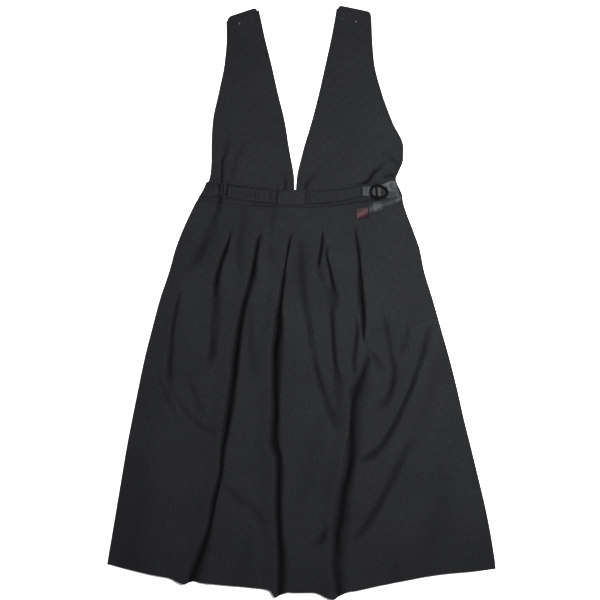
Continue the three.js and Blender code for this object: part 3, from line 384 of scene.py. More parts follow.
def cloth_shell(name, mid, thickness, thin_edge=0.45, puff=None, coarse=False, painted_shade=None):
    """Closed thin shell about a grid of middle points, with rounded edges. Rows run down, columns to the right.
    A coarse one has every other row only on its hidden underside."""
    rows, cols = mid.shape[:2]
    half = np.full((rows, cols), thickness / 2)
    for k, part in enumerate((thin_edge, 0.85)):
        for edge in (np.s_[k, :], np.s_[rows - 1 - k, :], np.s_[:, k], np.s_[:, cols - 1 - k]):
            half[edge] = np.minimum(half[edge], thickness / 2 * part)
    if puff is not None:
        half = half * puff
    n = normals(mid) * half[..., None]
    step = 2 if coarse else 1
    under = (mid - n)[::step]
    verts = np.concatenate([under.reshape(-1, 3), (mid + n).reshape(-1, 3)])
    ids = np.arange(under.shape[0] * cols).reshape(-1, cols)
    up = np.arange(rows * cols).reshape(rows, cols) + ids.size
    a, b, c, d = ids[:-1, :-1], ids[:-1, 1:], ids[1:, 1:], ids[1:, :-1]
    faces = [np.stack([a, b, c, d], -1).reshape(-1, 4)]
    a, b, c, d = up[:-1, :-1], up[1:, :-1], up[1:, 1:], up[:-1, 1:]
    faces.append(np.stack([a, b, c, d], -1).reshape(-1, 4))
    faces.append(np.stack([ids[0, :-1], up[0, :-1], up[0, 1:], ids[0, 1:]], -1))
    faces.append(np.stack([ids[-1, 1:], up[-1, 1:], up[-1, :-1], ids[-1, :-1]], -1))
    if coarse:
        for k, turn in ((0, False), (-1, True)):
            low, t0, t1, t2 = ids[:, k], up[0:-2:2, k], up[1:-1:2, k], up[2::2, k]
            for tri in ((low[:-1], t1, t0), (low[:-1], low[1:], t1), (low[1:], t2, t1)):
                faces.append(np.stack(tri[::-1] if turn else tri, -1))
    else:
        faces.append(np.stack([ids[1:, 0], up[1:, 0], up[:-1, 0], ids[:-1, 0]], -1))
        faces.append(np.stack([ids[:-1, -1], up[:-1, -1], up[1:, -1], ids[1:, -1]], -1))
    # cloth coordinates: length run across the row, from the middle column, and down the column
    run = np.linalg.norm(np.diff(mid, axis=1), axis=2)
    u = np.concatenate([np.zeros((rows, 1)), np.cumsum(run, axis=1)], axis=1)
    u -= u[:, cols // 2:cols // 2 + 1]
    u += mid[rows // 2, cols // 2, 0]
    uv = np.stack([u, mid[..., 1]], -1)
    if painted_shade is not None:
        painted_shade = np.concatenate([painted_shade[::step].ravel(), painted_shade.ravel()])
    return polygons(name, verts, faces, np.concatenate([uv[::step].reshape(-1, 2), uv.reshape(-1, 2)]), painted_shade=painted_shade)


def spaced(total, fine, near):
    """Shares from 0 to 1, close together at both ends: near = distances from an edge, in mm."""
    inside = np.linspace(near[-1], total - near[-1], fine + 2)[1:-1]
    return np.concatenate([near, inside, [total - d for d in near[::-1]]]) / total


# ------------------------------------------------------------------ materials


class Nodes:
    """Short forms for building a node tree."""

    def __init__(self, tree):
        self.tree = tree

    def new(self, kind, **inputs):
        node = self.tree.nodes.new(kind)
        for key, value in inputs.items():
            setattr(node, key, value)
        return node

    def wire(self, a, b):
        self.tree.links.new(a, b)

    def maths(self, op, a, b=None, clamp=False):
        node = self.new("ShaderNodeMath", operation=op, use_clamp=clamp)
        for k, v in enumerate((a, b)):
            if v is None:
                continue
            if isinstance(v, (int, float)):
                node.inputs[k].default_value = v
            else:
                self.wire(v, node.inputs[k])
        return node.outputs[0]

    def noise(self, vector, scale, detail=2.0, rough=0.5, stretch=(1, 1, 1)):
        mapping = self.new("ShaderNodeMapping")
        mapping.inputs["Scale"].default_value = stretch
        self.wire(vector, mapping.inputs["Vector"])
        node = self.new("ShaderNodeTexNoise")
        node.inputs["Scale"].default_value = scale
        node.inputs["Detail"].default_value = detail
        node.inputs["Roughness"].default_value = rough
        self.wire(mapping.outputs[0], node.inputs["Vector"])
        return node.outputs["Fac"]

    def ramp(self, fac, stops):
        node = self.new("ShaderNodeValToRGB")
        while len(node.color_ramp.elements) < len(stops):
            node.color_ramp.elements.new(0.5)
        for element, (at, colour) in zip(node.color_ramp.elements, stops):
            element.position = at
            element.color = (*colour, 1)
        self.wire(fac, node.inputs["Fac"])
        return node.outputs["Color"]

    def mix(self, fac, a, b, blend="MIX"):
        node = self.new("ShaderNodeMix", data_type="RGBA", blend_type=blend)
        for socket, v in ((node.inputs["Factor"], fac), (node.inputs["A"], a), (node.inputs["B"], b)):
            if isinstance(v, (int, float)):
                socket.default_value = v
            elif isinstance(v, tuple):
                socket.default_value = (*v, 1)
            else:
                self.wire(v, socket)
        # the colour sockets are the third pair of this node
        return node.outputs["Result"]


def colour_mix(n, fac, a, b, blend="MIX"):
    node = n.new("ShaderNodeMix", data_type="RGBA", blend_type=blend)
    sockets = (node.inputs[0], node.inputs[6], node.inputs[7])
    for socket, v in zip(sockets, (fac, a, b)):
        if isinstance(v, (int, float)):
            socket.default_value = v
        elif isinstance(v, tuple):
            socket.default_value = (*v, 1)
        else:
            n.wire(v, socket)
    return node.outputs[2]


def cloth_material(name, shade=1.0, weave=1.15, grain=1.0):
    """Charcoal melange: slubbed vertical yarns, a plain weave, soft mottling, nap, and painted shade down in the folds.
    """
    mat, tree, shader = principled(name)
    n = Nodes(tree)
    uv = n.new("ShaderNodeUVMap", uv_map="cloth").outputs[0]
    # yarns: long thin streaks down the cloth, shorter ones across
    warp = n.noise(uv, 1.0, 3.0, 0.62, (820 * grain, 62 * grain, 1))
    weft = n.noise(uv, 1.0, 2.0, 0.6, (95 * grain, 900 * grain, 1))
    heather = n.noise(uv, 1.0, 2.0, 0.55, (310 * grain, 120 * grain, 1))
    mottle = n.noise(uv, 9.0, 3.0, 0.5)
    yarn = n.maths("ADD", n.maths("MULTIPLY", warp, 0.5), n.maths("MULTIPLY", weft, 0.25))
    yarn = n.maths("ADD", yarn, n.maths("MULTIPLY", heather, 0.25))
    dark = tuple(shade * c for c in (0.0245, 0.0252, 0.0262))
    base = tuple(shade * c for c in (0.0335, 0.0343, 0.0356))
    pale = tuple(shade * c for c in (0.0453, 0.0464, 0.0481))
    colour = n.ramp(yarn, [(0.33, dark), (0.5, base), (0.68, pale)])
    tone = n.maths("ADD", n.maths("MULTIPLY", mottle, 0.34), 0.83)
    grey = n.new("ShaderNodeCombineColor")
    for k in range(3):
        n.wire(tone, grey.inputs[k])
    colour = colour_mix(n, 1.0, colour, grey.outputs[0], "MULTIPLY")
    # plain weave: over and under on a small grid
    split = n.new("ShaderNodeSeparateXYZ")
    n.wire(uv, split.inputs[0])
    pitch = 2 * math.pi / (weave * MM)
    sx = n.maths("SINE", n.maths("MULTIPLY", split.outputs[0], pitch))
    sy = n.maths("SINE", n.maths("MULTIPLY", split.outputs[1], pitch))
    check = n.maths("ADD", n.maths("MULTIPLY", n.maths("MULTIPLY", sx, sy), 0.5), 0.5)
    gaps = n.ramp(check, [(0.0, (0.72, 0.72, 0.72)), (0.35, (1, 1, 1)), (1.0, (1.08, 1.08, 1.08))])
    colour = colour_mix(n, 1.0, colour, gaps, "MULTIPLY")
    # painted shade down in the grooves, folds and gathers, read from a mesh attribute
    painted_light = n.new("ShaderNodeAttribute", attribute_name="painted_shade")
    painted_darkening = n.ramp(painted_light.outputs["Fac"], [(0.0, (1, 1, 1)), (0.45, (0.70, 0.70, 0.71)), (1.0, (0.14, 0.14, 0.145))])
    colour = colour_mix(n, 1.0, colour, painted_darkening, "MULTIPLY")
    n.wire(colour, shader.inputs["Base Color"])
    rough = n.maths("ADD", n.maths("MULTIPLY", warp, 0.16), 0.82, clamp=True)
    n.wire(rough, shader.inputs["Roughness"])
    shader.inputs["Specular IOR Level"].default_value = 0.12
    shader.inputs["Sheen Weight"].default_value = 0.03
    shader.inputs["Sheen Roughness"].default_value = 0.55
    shader.inputs["Sheen Tint"].default_value = (0.72, 0.74, 0.78, 1)
    height = n.maths("ADD", n.maths("MULTIPLY", check, 0.55), n.maths("MULTIPLY", warp, 0.55))
    height = n.maths("ADD", height, n.maths("MULTIPLY", heather, 0.6))
    bump = n.new("ShaderNodeBump")
    bump.inputs["Strength"].default_value = 0.55
    bump.inputs["Distance"].default_value = 0.00035
    n.wire(height, bump.inputs["Height"])
    n.wire(bump.outputs[0], shader.inputs["Normal"])
    return mat


def thread_material(name, colour):
    mat, tree, shader = principled(name)
    n = Nodes(tree)
    at = n.new("ShaderNodeNewGeometry").outputs["Position"]
    fibre = n.noise(at, 2600, 2.0)
    tone = n.ramp(fibre, [(0.35, tuple(0.75 * c for c in colour)), (0.65, tuple(1.3 * c for c in colour))])
    n.wire(tone, shader.inputs["Base Color"])
    shader.inputs["Roughness"].default_value = 0.62
    shader.inputs["Specular IOR Level"].default_value = 0.35
    return mat


def tape_material(name):
    """Coated dark tape: fine cross ribs under a clear gloss, scuffed a little."""
    mat, tree, shader = principled(name)
    n = Nodes(tree)
    uv = n.new("ShaderNodeUVMap", uv_map="cloth").outputs[0]
    cloud = n.noise(uv, 90.0, 3.0, 0.55)
    scuff = n.noise(uv, 1.0, 3.0, 0.6, (140, 900, 1))
    tone = n.ramp(cloud, [(0.30, (0.056, 0.058, 0.059)), (0.5, (0.079, 0.081, 0.082)), (0.70, (0.108, 0.111, 0.112))])
    # painted shade on the tape, left off where a painted highlight should show, read from the mesh attribute
    painted_light = n.new("ShaderNodeAttribute", attribute_name="painted_shade")
    painted_darkening = n.ramp(painted_light.outputs["Fac"], [(0.0, (1, 1, 1)), (0.4, (0.42, 0.43, 0.43)), (0.8, (0.13, 0.135, 0.135)), (1.0, (0.06, 0.06, 0.06))])
    tone = colour_mix(n, 1.0, tone, painted_darkening, "MULTIPLY")
    n.wire(tone, shader.inputs["Base Color"])
    rough = n.maths("ADD", n.maths("MULTIPLY", scuff, 0.26), 0.40, clamp=True)
    n.wire(rough, shader.inputs["Roughness"])
    shader.inputs["Specular IOR Level"].default_value = 0.16
    shader.inputs["Coat Weight"].default_value = 0.03
    shader.inputs["Coat Roughness"].default_value = 0.32
    split = n.new("ShaderNodeSeparateXYZ")
    n.wire(uv, split.inputs[0])
    rib = n.maths("SINE", n.maths("MULTIPLY", split.outputs[0], 2 * math.pi / 0.0011))
    height = n.maths("ADD", n.maths("MULTIPLY", rib, 0.12), n.maths("MULTIPLY", cloud, 0.8))
    bump = n.new("ShaderNodeBump")
    bump.inputs["Strength"].default_value = 0.6
    bump.inputs["Distance"].default_value = 0.0006
    n.wire(height, bump.inputs["Height"])
    n.wire(bump.outputs[0], shader.inputs["Normal"])
    return mat


def red_material(name):
    """Red woven end piece, paler along its upper half as a painted highlight."""
    mat, tree, shader = principled(name)
    n = Nodes(tree)
    uv = n.new("ShaderNodeUVMap", uv_map="cloth").outputs[0]
    split = n.new("ShaderNodeSeparateXYZ")
    n.wire(uv, split.inputs[0])
    cloud = n.noise(uv, 160.0, 2.0)
    # deep red only at the lower right corner, then rose, then greyer towards the upper left
    slope = n.maths("SUBTRACT", split.outputs[1], n.maths("MULTIPLY", split.outputs[0], 0.6))
    painted_light = n.maths("ADD", n.maths("MULTIPLY", n.maths("SUBTRACT", slope, 0.0946), 52.0), n.maths("MULTIPLY", n.maths("SUBTRACT", cloud, 0.5), 0.35), clamp=True)
    colour = n.ramp(painted_light, [(0.02, (0.040, 0.0145, 0.024)), (0.24, (0.072, 0.040, 0.048)), (0.52, (0.104, 0.068, 0.073)), (0.88, (0.058, 0.043, 0.044))])
    n.wire(colour, shader.inputs["Base Color"])
    rib = n.maths("SINE", n.maths("MULTIPLY", split.outputs[0], 2 * math.pi / 0.0009))
    weft = n.maths("SINE", n.maths("MULTIPLY", split.outputs[1], 2 * math.pi / 0.0009))
    bump = n.new("ShaderNodeBump")
    bump.inputs["Strength"].default_value = 0.4
    bump.inputs["Distance"].default_value = 0.0003
    n.wire(n.maths("MULTIPLY", rib, weft), bump.inputs["Height"])
    n.wire(bump.outputs[0], shader.inputs["Normal"])
    shader.inputs["Roughness"].default_value = 0.55
    shader.inputs["Specular IOR Level"].default_value = 0.15
    return mat


def hard_material(name, colour, rough, metal, scale, gloss=0.5):
    mat, tree, shader = principled(name)
    n = Nodes(tree)
    at = n.new("ShaderNodeNewGeometry").outputs["Position"]
    grain = n.noise(at, scale, 3.0)
    tone = n.ramp(grain, [(0.3, tuple(0.8 * c for c in colour)), (0.7, tuple(1.2 * c for c in colour))])
    n.wire(tone, shader.inputs["Base Color"])
    n.wire(n.maths("ADD", n.maths("MULTIPLY", grain, 0.2), rough - 0.1, clamp=True), shader.inputs["Roughness"])
    shader.inputs["Metallic"].default_value = metal
    shader.inputs["Specular IOR Level"].default_value = gloss
    bump = n.new("ShaderNodeBump")
    bump.inputs["Strength"].default_value = 0.15
    bump.inputs["Distance"].default_value = 0.0002
    n.wire(grain, bump.inputs["Height"])
    n.wire(bump.outputs[0], shader.inputs["Normal"])
    return mat


CLOTH_FRONT = cloth_material("cloth_front")
CLOTH_BACK = cloth_material("cloth_back", 0.92)
THREAD = thread_material("thread", (0.020, 0.021, 0.023))
GLOSS = tape_material("tape")
RED = red_material("tip")
BLACK = hard_material("ring", (0.0062, 0.0063, 0.0068), 0.42, 0.0, 420, 0.04)
METAL = hard_material("stud", (0.115, 0.115, 0.114), 0.5, 0.8, 900, 0.2)
# a darker copy of the stud finish: painted shade for the studs that catch no highlight
STUD_PAINTED_DIM = hard_material("stud_painted_dim", (0.058, 0.059, 0.061), 0.55, 0.5, 900, 0.1)


def finish_piece(obj, material, node=None):
    obj.data.materials.clear()
    obj.data.materials.append(material)
    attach(obj, "root")
    if node:
        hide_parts(node)
    return obj


# ------------------------------------------------------------------ the skirt
G = {"left": Column(GUIDES, 1), "right": Column(GUIDES, 7)}
GROOVE = {}
for name, table in GROOVES.items():
    GROOVE[name] = {part: Column(table, k + 1) for k, part in enumerate(("x", "core", "left", "right", "share", "rollLeft", "rollRight", "shade"))}
    G[name] = GROOVE[name]["x"]
FOLD = []
for table, roll_left, roll_right in FOLDS:
    FOLD.append((table[-1][0], table[0][0], Column(table, 1), Column(table, 2), Column(table, 3), roll_left, roll_right))
crown = Column(CROWN, 1)
hem_base = Column(HEM, 1)
waist = {name: Column(WAIST, k + 1) for k, name in enumerate(("top", "bottom", "beltTop", "beltBottom"))}
side_left, side_right = Column(WAIST_SIDES, 1), Column(WAIST_SIDES, 2)
bib = {name: Column(BIBS, k + 1) for k, name in enumerate(("leftOuter", "leftInner", "rightInner", "rightOuter"))}


def hem_line(x):
    y = hem_base(x)
    for at, reach, left, right in HEM_FEET:
        d = x - at
        y = y - reach * smooth(1 - np.abs(d) / np.where(d < 0, left, right))
    return y


def slant(column, y):
    """Cosine of a line's lean from the vertical, so that widths are measured square to it."""
    return 1 / np.hypot(1, (column(y + 4) - column(y - 4)) / 8)


def painted_shade_strokes(x, y):
    """Painted shade along the strokes: gathers, seams and loop edges at the waist, and the shadow on the bib above the
    tape.
    """
    out = np.zeros_like(x)
    for x0, y0, x1, y1, width, dark in PAINTED_SHADE_STROKES:
        length = math.hypot(x1 - x0, y1 - y0)
        t = ((x - x0) * (x1 - x0) + (y - y0) * (y1 - y0)) / length ** 2
        d = ((x - x0) * (y1 - y0) - (y - y0) * (x1 - x0)) / length
        out = np.maximum(out, dark * np.exp(-(d / width) ** 2) * smooth((t + 0.12) / 0.3) * smooth((1.12 - t) / 0.3))
    return out


def skirt_rise(x, y):
    lift = crown(y) * smooth((x - G["left"](y)) / EDGE_LEFT) * smooth((G["right"](y) - x) / EDGE_RIGHT)
    keep = np.ones_like(lift)
    painted_darkening = np.zeros_like(lift)
    for name, g in GROOVE.items():
        d = (x - g["x"](y)) * slant(g["x"], y)
        core, share = g["core"](y), g["share"](y)
        wall = np.where(d < 0, g["left"](y), g["right"](y))
        up = np.clip((np.abs(d) - core) / wall, 0, 1)
        # tight grooves round over like a rolled edge, loose ones are plain troughs
        tight = smooth((share - 0.72) / 0.22)
        height = lerp(smooth(up), 1 - (1 - up) ** 1.9, tight)
        roll = np.where(d < 0, g["rollLeft"](y), g["rollRight"](y))
        reach = np.where(d < 0, 30.0, 34.0)
        lift = lift + roll * smooth(1 - np.maximum(0, np.abs(d) - core - wall * 0.7) / reach)
        keep = keep * (1 - share * (1 - height))
        # painted shade down in the groove, darkest in the slit
        shade = 0.5 * (1 - smooth((np.abs(d) - core) / (0.7 * wall))) + 0.5 * (1 - smooth((np.abs(d) - core * 0.7) / (0.16 * wall + 0.8)))
        painted_darkening = np.maximum(painted_darkening, share ** 2 * g["shade"](y) * shade)
    for low, high, at, depth, width, roll_left, roll_right in FOLD:
        inside = ((y > low) & (y < high)).astype(float)
        d = (x - at(y)) * slant(at, np.clip(y, low + 4, high - 4))
        w, h = width(y), depth(y) * inside
        lift = lift - 1.7 * h * np.exp(-(np.abs(d) / w) ** 1.45 * 1.15)
        grow = np.minimum(1.0, h / 2.0)
        lift = lift + grow * (roll_left * np.exp(-((d + 2.2 * w) / (1.5 * w)) ** 2) + roll_right * np.exp(-((d - 2.2 * w) / (1.5 * w)) ** 2))
        # painted shade along the trough of the fold
        painted_darkening = np.maximum(painted_darkening, np.minimum(1, h / 5.5) * 0.62 * np.exp(-(d / (0.7 * w)) ** 2))
    # uneven lie of the cloth, none at the sewn top
    free = smooth((150 - y) / 140)
    lift = lift + free * (0.50 * field(x, y, 85, 3) + 0.26 * field(x, y, 34, 5, 1.6) + 0.09 * field(x, y, 14, 8, 1.5))
    # stitched tucks above the pleats
    for name in ("p1", "p2", "p3", "p4", "p5"):
        d = x - G[name](y) - 1.0
        lift = lift - 0.5 * np.exp(-(d / 1.8) ** 2) * smooth((y - 142) / 10) + 0.3 * np.exp(-((d + 5) / 4) ** 2) * smooth((y - 136) / 14)
    lift = lift - 0.5 * smooth(1 - (waist["bottom"](x) - SEAM - y) / 2.2)        # turned in at the waist seam
    return np.maximum(lift, 0) * keep, painted_darkening


CORE_STEPS = (0.5, 1.0)
WALL_STEPS = (0.025, 0.07, 0.14, 0.24, 0.37, 0.53, 0.74, 1.0)
BEYOND = (1.6, 3.8, 7.0, 12.0)
BEYOND_WIDE = (1.8, 3.6, 5.4, 7.2, 9.0, 11.0, 13.0, 15.0)
ZONES = (("left", "p1", 26), ("p1", "p2", 5), ("p2", "p3", 26), ("p3", "q4", 16), ("q4", "p4", 3), ("p4", "p5", 6), ("p5", "right", 76))


def side_offsets(name, sign, y, distance):
    """Offsets of the columns on one side of a guide, squeezed where its neighbour is near."""
    if name in ("left", "right"):
        return [sign * c + 0 * y for c in (0.8, 2.2, 5, 9, 14)]
    g = GROOVE[name]
    lean = 1 / slant(g["x"], y)
    core, wall = np.maximum(g["core"](y), 0.3) * lean, g["left" if sign < 0 else "right"](y) * lean
    beyond = BEYOND_WIDE if name == "p5" and sign < 0 else BEYOND
    tight = np.minimum(1, 0.38 * distance / (core + wall))
    loose = np.minimum(1, np.maximum(0.05 * distance, 0.46 * distance - (core + wall) * tight) / beyond[-1])
    out = [sign * tight * core * a for a in CORE_STEPS]
    out += [sign * tight * (core + wall * b) for b in WALL_STEPS]
    out += [sign * (tight * (core + wall) + loose * c) for c in beyond]
    return out


def columns_at(y):
    """x of each column at each point's own y (one column of y for each column of the mesh)."""
    out = []
    k = 0
    for a, b, count in ZONES:
        first = 1 + len(side_offsets(a, 1, 0.0, 50.0))
        last = len(side_offsets(b, -1, 0.0, 50.0))
        block = y[:, k:k + first + count + last]
        ga, gb = G[a](block), G[b](block)
        gap = gb - ga
        left = [np.zeros_like(block)] + side_offsets(a, 1, block, gap)
        right = side_offsets(b, -1, block, gap)[::-1]
        n = np.arange(count + 2)[1:-1] / (count + 1)
        cols = [ga[:, i] + left[i][:, i] for i in range(first)]
        for i in range(count):
            j = first + i
            start = ga[:, j] + left[-1][:, j]
            end = gb[:, j] + right[0][:, j]
            cols.append(lerp(start, end, n[i]))
        for i in range(last):
            j = first + count + i
            cols.append(gb[:, j] + right[i][:, j])
        out += cols
        k += first + count + last
    out.append(G["right"](y[:, k]))
    return np.stack(out, -1)


COUNT = 1
for a, b, count in ZONES:
    COUNT += 1 + len(side_offsets(a, 1, 0.0, 50.0)) + count + len(side_offsets(b, -1, 0.0, 50.0))
ROWS = 177
share = np.linspace(0, 1, ROWS - 4) ** 1.08
share = np.sort(np.concatenate([share, [0.0012, 0.003, 0.997, 0.9988]]))[:, None]
y = np.broadcast_to(lerp(190.0, -560.0, share), (ROWS, COUNT)).copy()
for _ in range(7):
    x = columns_at(y)
    y = lerp(waist["bottom"](x) - SEAM, hem_line(x), share)
x = columns_at(y)
rise, painted_darkening = skirt_rise(x, y)
z = FRONT_MID - (CLOTH - SHELL) / 2 + rise
# painted shade of the skirt: its grooves and folds, and the strokes at its top
painted_darkening = np.maximum(painted_darkening, painted_shade_strokes(x, y))
mid = np.stack([x, y, z], -1)
print("skirt grid", mid.shape, "top", round(float(z.max()), 2))
skirt_front = cloth_shell("skirt_front_cloth", mid, SHELL, coarse=True, painted_shade=painted_darkening)
finish_piece(skirt_front, CLOTH_FRONT, "skirt_front")
SKIRT_MID = mid

# ------------------------------------------------------------------ back of the skirt
rows, cols = 100, 90
u = spaced(1.0, cols - 6, [0, 0.0012, 0.003])[None, :]
v = spaced(1.0, rows - 6, [0, 0.001, 0.0025])[:, None]
y = np.broadcast_to(lerp(190.0, -560.0, v), (rows, cols)).copy()
for _ in range(7):
    x = lerp(G["left"](y) + INSET, G["right"](y) - INSET, u)
    y = lerp(waist["bottom"](x) - SEAM - BACK_SHIFT, hem_base(x) + 4, v)
x = lerp(G["left"](y) + INSET, G["right"](y) - INSET, u)
z = np.full_like(x, SHELL / 2 + 0.02)
for at, lean, top, end in ((-105, 0.16, 130, -260), (-48, 0.06, 130, -330), (14, -0.02, 130, -300), (84, -0.10, 130, -280)):
    d = x - (at + lean * (y - 130))
    z = z + 0.25 * np.exp(-(d / 4.5) ** 2) * smooth((top - y) / 60) * (1 - smooth((end + 160 - y) / 160))
skirt_back = cloth_shell("skirt_back_cloth", np.stack([x, y, z], -1), SHELL)
finish_piece(skirt_back, CLOTH_BACK, "skirt_back")

# ------------------------------------------------------------------ waistband


def waist_grid(u, v, inset, top, bottom, gap, shift=0.0):
    rows, cols = v.shape[0], u.shape[1]
    y = np.full((rows, cols), 215.0)
    for _ in range(7):
        x = lerp(side_left(y) + inset, side_right(y) - inset, u)
        y = lerp(waist[top](x) + shift, waist[bottom](x) + gap - shift, v)
    return lerp(side_left(y) + inset, side_right(y) - inset, u), y


GATHERS = [  # x, depth, width: small puckers across the gathered side of the waist
    (-195, 0.5, 2.2), (-187, 0.8, 2.6), (-178, 0.7, 2.4), (-170, 0.9, 2.6), (-163.5, 1.3, 1.9), (-154, 0.9, 1.6),
    (-146, 1.3, 1.9), (-137, 0.5, 2.6), (-127, 0.4, 2.8),
]


def puckers(x, y, table, lean=0.08):
    out = np.zeros_like(x)
    for at, depth, width in table:
        out = out - depth * np.exp(-((x - at - lean * (y - 215)) / width) ** 2)
    return out


u = spaced(400.0, 230, [0, 0.5, 1.2, 2.5])[None, :]
v = spaced(32.0, 12, [0, 0.4, 0.9, 1.8])[:, None]
x, y = waist_grid(u, v, 0, "top", "bottom", SEAM)
down = np.broadcast_to(v, x.shape) * 32
z = FRONT_MID - (CLOTH - SHELL) / 2 + 0.10 * field(x, y, 12, 21) + 0.55 * puckers(x, y, GATHERS) + 0.35
z = z - 0.45 * smooth(1 - down / 2.0) - 0.45 * smooth(1 - (32 - down) / 2.0)
z = np.clip(z, FRONT_MID - 0.1, FRONT_MID + 0.45)
z = z - 0.5 * painted_shade_strokes(x, y)
waistband_front = cloth_shell("waistband_front_cloth", np.stack([x, y, z], -1), SHELL, painted_shade=painted_shade_strokes(x, y))
finish_piece(waistband_front, CLOTH_FRONT, "waistband_front")

u = spaced(400.0, 110, [0, 0.5, 1.2, 2.5])[None, :]
x, y = waist_grid(u, v, INSET, "top", "bottom", SEAM, BACK_SHIFT)
z = np.full_like(x, SHELL / 2 + 0.02)
waistband_back = cloth_shell("waistband_back_cloth", np.stack([x, y, z], -1), SHELL)
finish_piece(waistband_back, CLOTH_BACK, "waistband_back")

# ------------------------------------------------------------------ belt and loops
BELT_PUCKERS = [
    (-187, 0.5, 3.0), (-176, 0.6, 2.6), (-163.5, 1.0, 2.2), (-145, 1.0, 2.4), (-134, 0.5, 3.0), (-124, 0.35, 3.0), (-113, 0.5, 2.6),
    (-101, 0.4, 2.4), (-92, 1.0, 2.2), (-83, 0.35, 2.4), (-73, 0.4, 2.8), (-62, 1.0, 2.2), (-52, 0.4, 2.4),
    (17, 0.9, 1.8), (34, 0.3, 3.0), (52, 0.35, 4.0), (71, 0.3, 3.0), (86, 0.45, 3.0), (104, 0.3, 4.0),
]
u = lerp(0.0, 0.8015, spaced(322.0, 250, [0, 0.4, 1.0, 2.0]))[None, :]
v = spaced(22.0, 12, [0, 0.35, 0.8, 1.5])[:, None]
x, y = waist_grid(u, v, 1.0, "beltTop", "beltBottom", 0.0)
down = np.broadcast_to(v, x.shape) * 22
near_loop = smooth((x + 56) / 8) * smooth((19.5 - x) / 8)
z = BELT_LOW + BELT / 2 + (1 - near_loop) * (0.7 * puckers(x, y, BELT_PUCKERS, 0.16) + 0.14 * field(x, y, 9, 31, 1.8))
z = z + (1 - near_loop) * 0.5
z = np.clip(z, BELT_LOW + BELT / 2 - 0.25, BELT_LOW + BELT / 2 + 0.7)
edge = np.minimum(down, 22 - down)
puff = 0.62 + 0.38 * smooth(edge / 2.6)
z = z - 0.6 * np.clip(painted_shade_strokes(x, y) - 0.1, 0, 1) * smooth(edge / 2)
belt = cloth_shell("belt_cloth", np.stack([x, y, z], -1), BELT, 0.5, puff, painted_shade=painted_shade_strokes(x, y))
finish_piece(belt, CLOTH_FRONT, "belt")


def loop_grid(left, right, lean, over, under, cols):
    flat, high = BELT_LOW + CLOTH / 2, BELT_LOW + BELT + GAP + CLOTH / 2
    path = np.array([(over + 4.2, flat), (over + 3.4, flat), (over + 2.6, flat + 0.1), (over + 1.9, flat + 1.0), (over + 1.2, high - 0.5),
                     (over + 0.2, high + 0.1), (over - 1.6, high + 0.25), ((over + under) / 2, high + 0.45),
                     (under + 1.6, high + 0.25), (under - 0.2, high + 0.1), (under - 1.2, high - 0.5), (under - 1.9, flat + 1.0),
                     (under - 2.6, flat + 0.1), (under - 3.4, flat), (under - 4.2, flat)])
    s = np.concatenate([[0], np.cumsum(np.linalg.norm(np.diff(path, axis=0), axis=1))])
    even = np.linspace(0, s[-1], 64)
    py, pz = np.interp(even, s, path[:, 0]), np.interp(even, s, path[:, 1])
    kernel = np.array([1, 2, 3, 2, 1]) / 9.0
    pz = np.convolve(np.pad(pz, 2, mode="edge"), kernel, mode="valid")
    t = spaced(right - left, cols, [0, 0.35, 0.8, 1.6])[None, :]
    xx = lerp(left, right, t) + lean * (py[:, None] - (over + under) / 2)
    yy = np.broadcast_to(py[:, None], xx.shape).copy()
    zz = np.broadcast_to(pz[:, None], xx.shape).copy()
    return xx, yy, zz


x, y, z = loop_grid(-46.8, 9.4, 0.08, 220.8, 196.8, 46)
z = z + np.maximum(0, 0.22 * field(x, y, 11, 41)) * smooth((y - 196) / 6) * smooth((222 - y) / 6)
loop_centre = cloth_shell("belt_loop_centre_cloth", np.stack([x, y, z], -1), SHELL, painted_shade=painted_shade_strokes(x, y))
finish_piece(loop_centre, CLOTH_FRONT, "belt_loop_centre")
x, y, z = loop_grid(-159, -148.5, -0.04, 234.4, 209.4, 16)
loop_side = cloth_shell("belt_loop_side_cloth", np.stack([x, y, z], -1), SHELL, painted_shade=painted_shade_strokes(x, y))
finish_piece(loop_side, CLOTH_FRONT, "belt_loop_side")

# ------------------------------------------------------------------ bibs


BIB_CURVES = []
for side, table, roll_left, roll_right in BIB_FOLDS:
    BIB_CURVES.append((side, table[-1][0], table[0][0], *[Column(table, k) for k in (1, 2, 3, 4)], roll_left, roll_right))


def bib_painted_shade(side, x, y):
    # painted shade of a bib: the strokes and the troughs of its creases
    out = painted_shade_strokes(x, y)
    for which, low, high, at, depth, width, dark, _, _ in BIB_CURVES:
        if which == side:
            d = (x - at(y)) * slant(at, np.clip(y, low + 4, high - 4))
            out = np.maximum(out, dark(y) * (y < high) * np.exp(-(d / (0.85 * width(y))) ** 2))
    return out


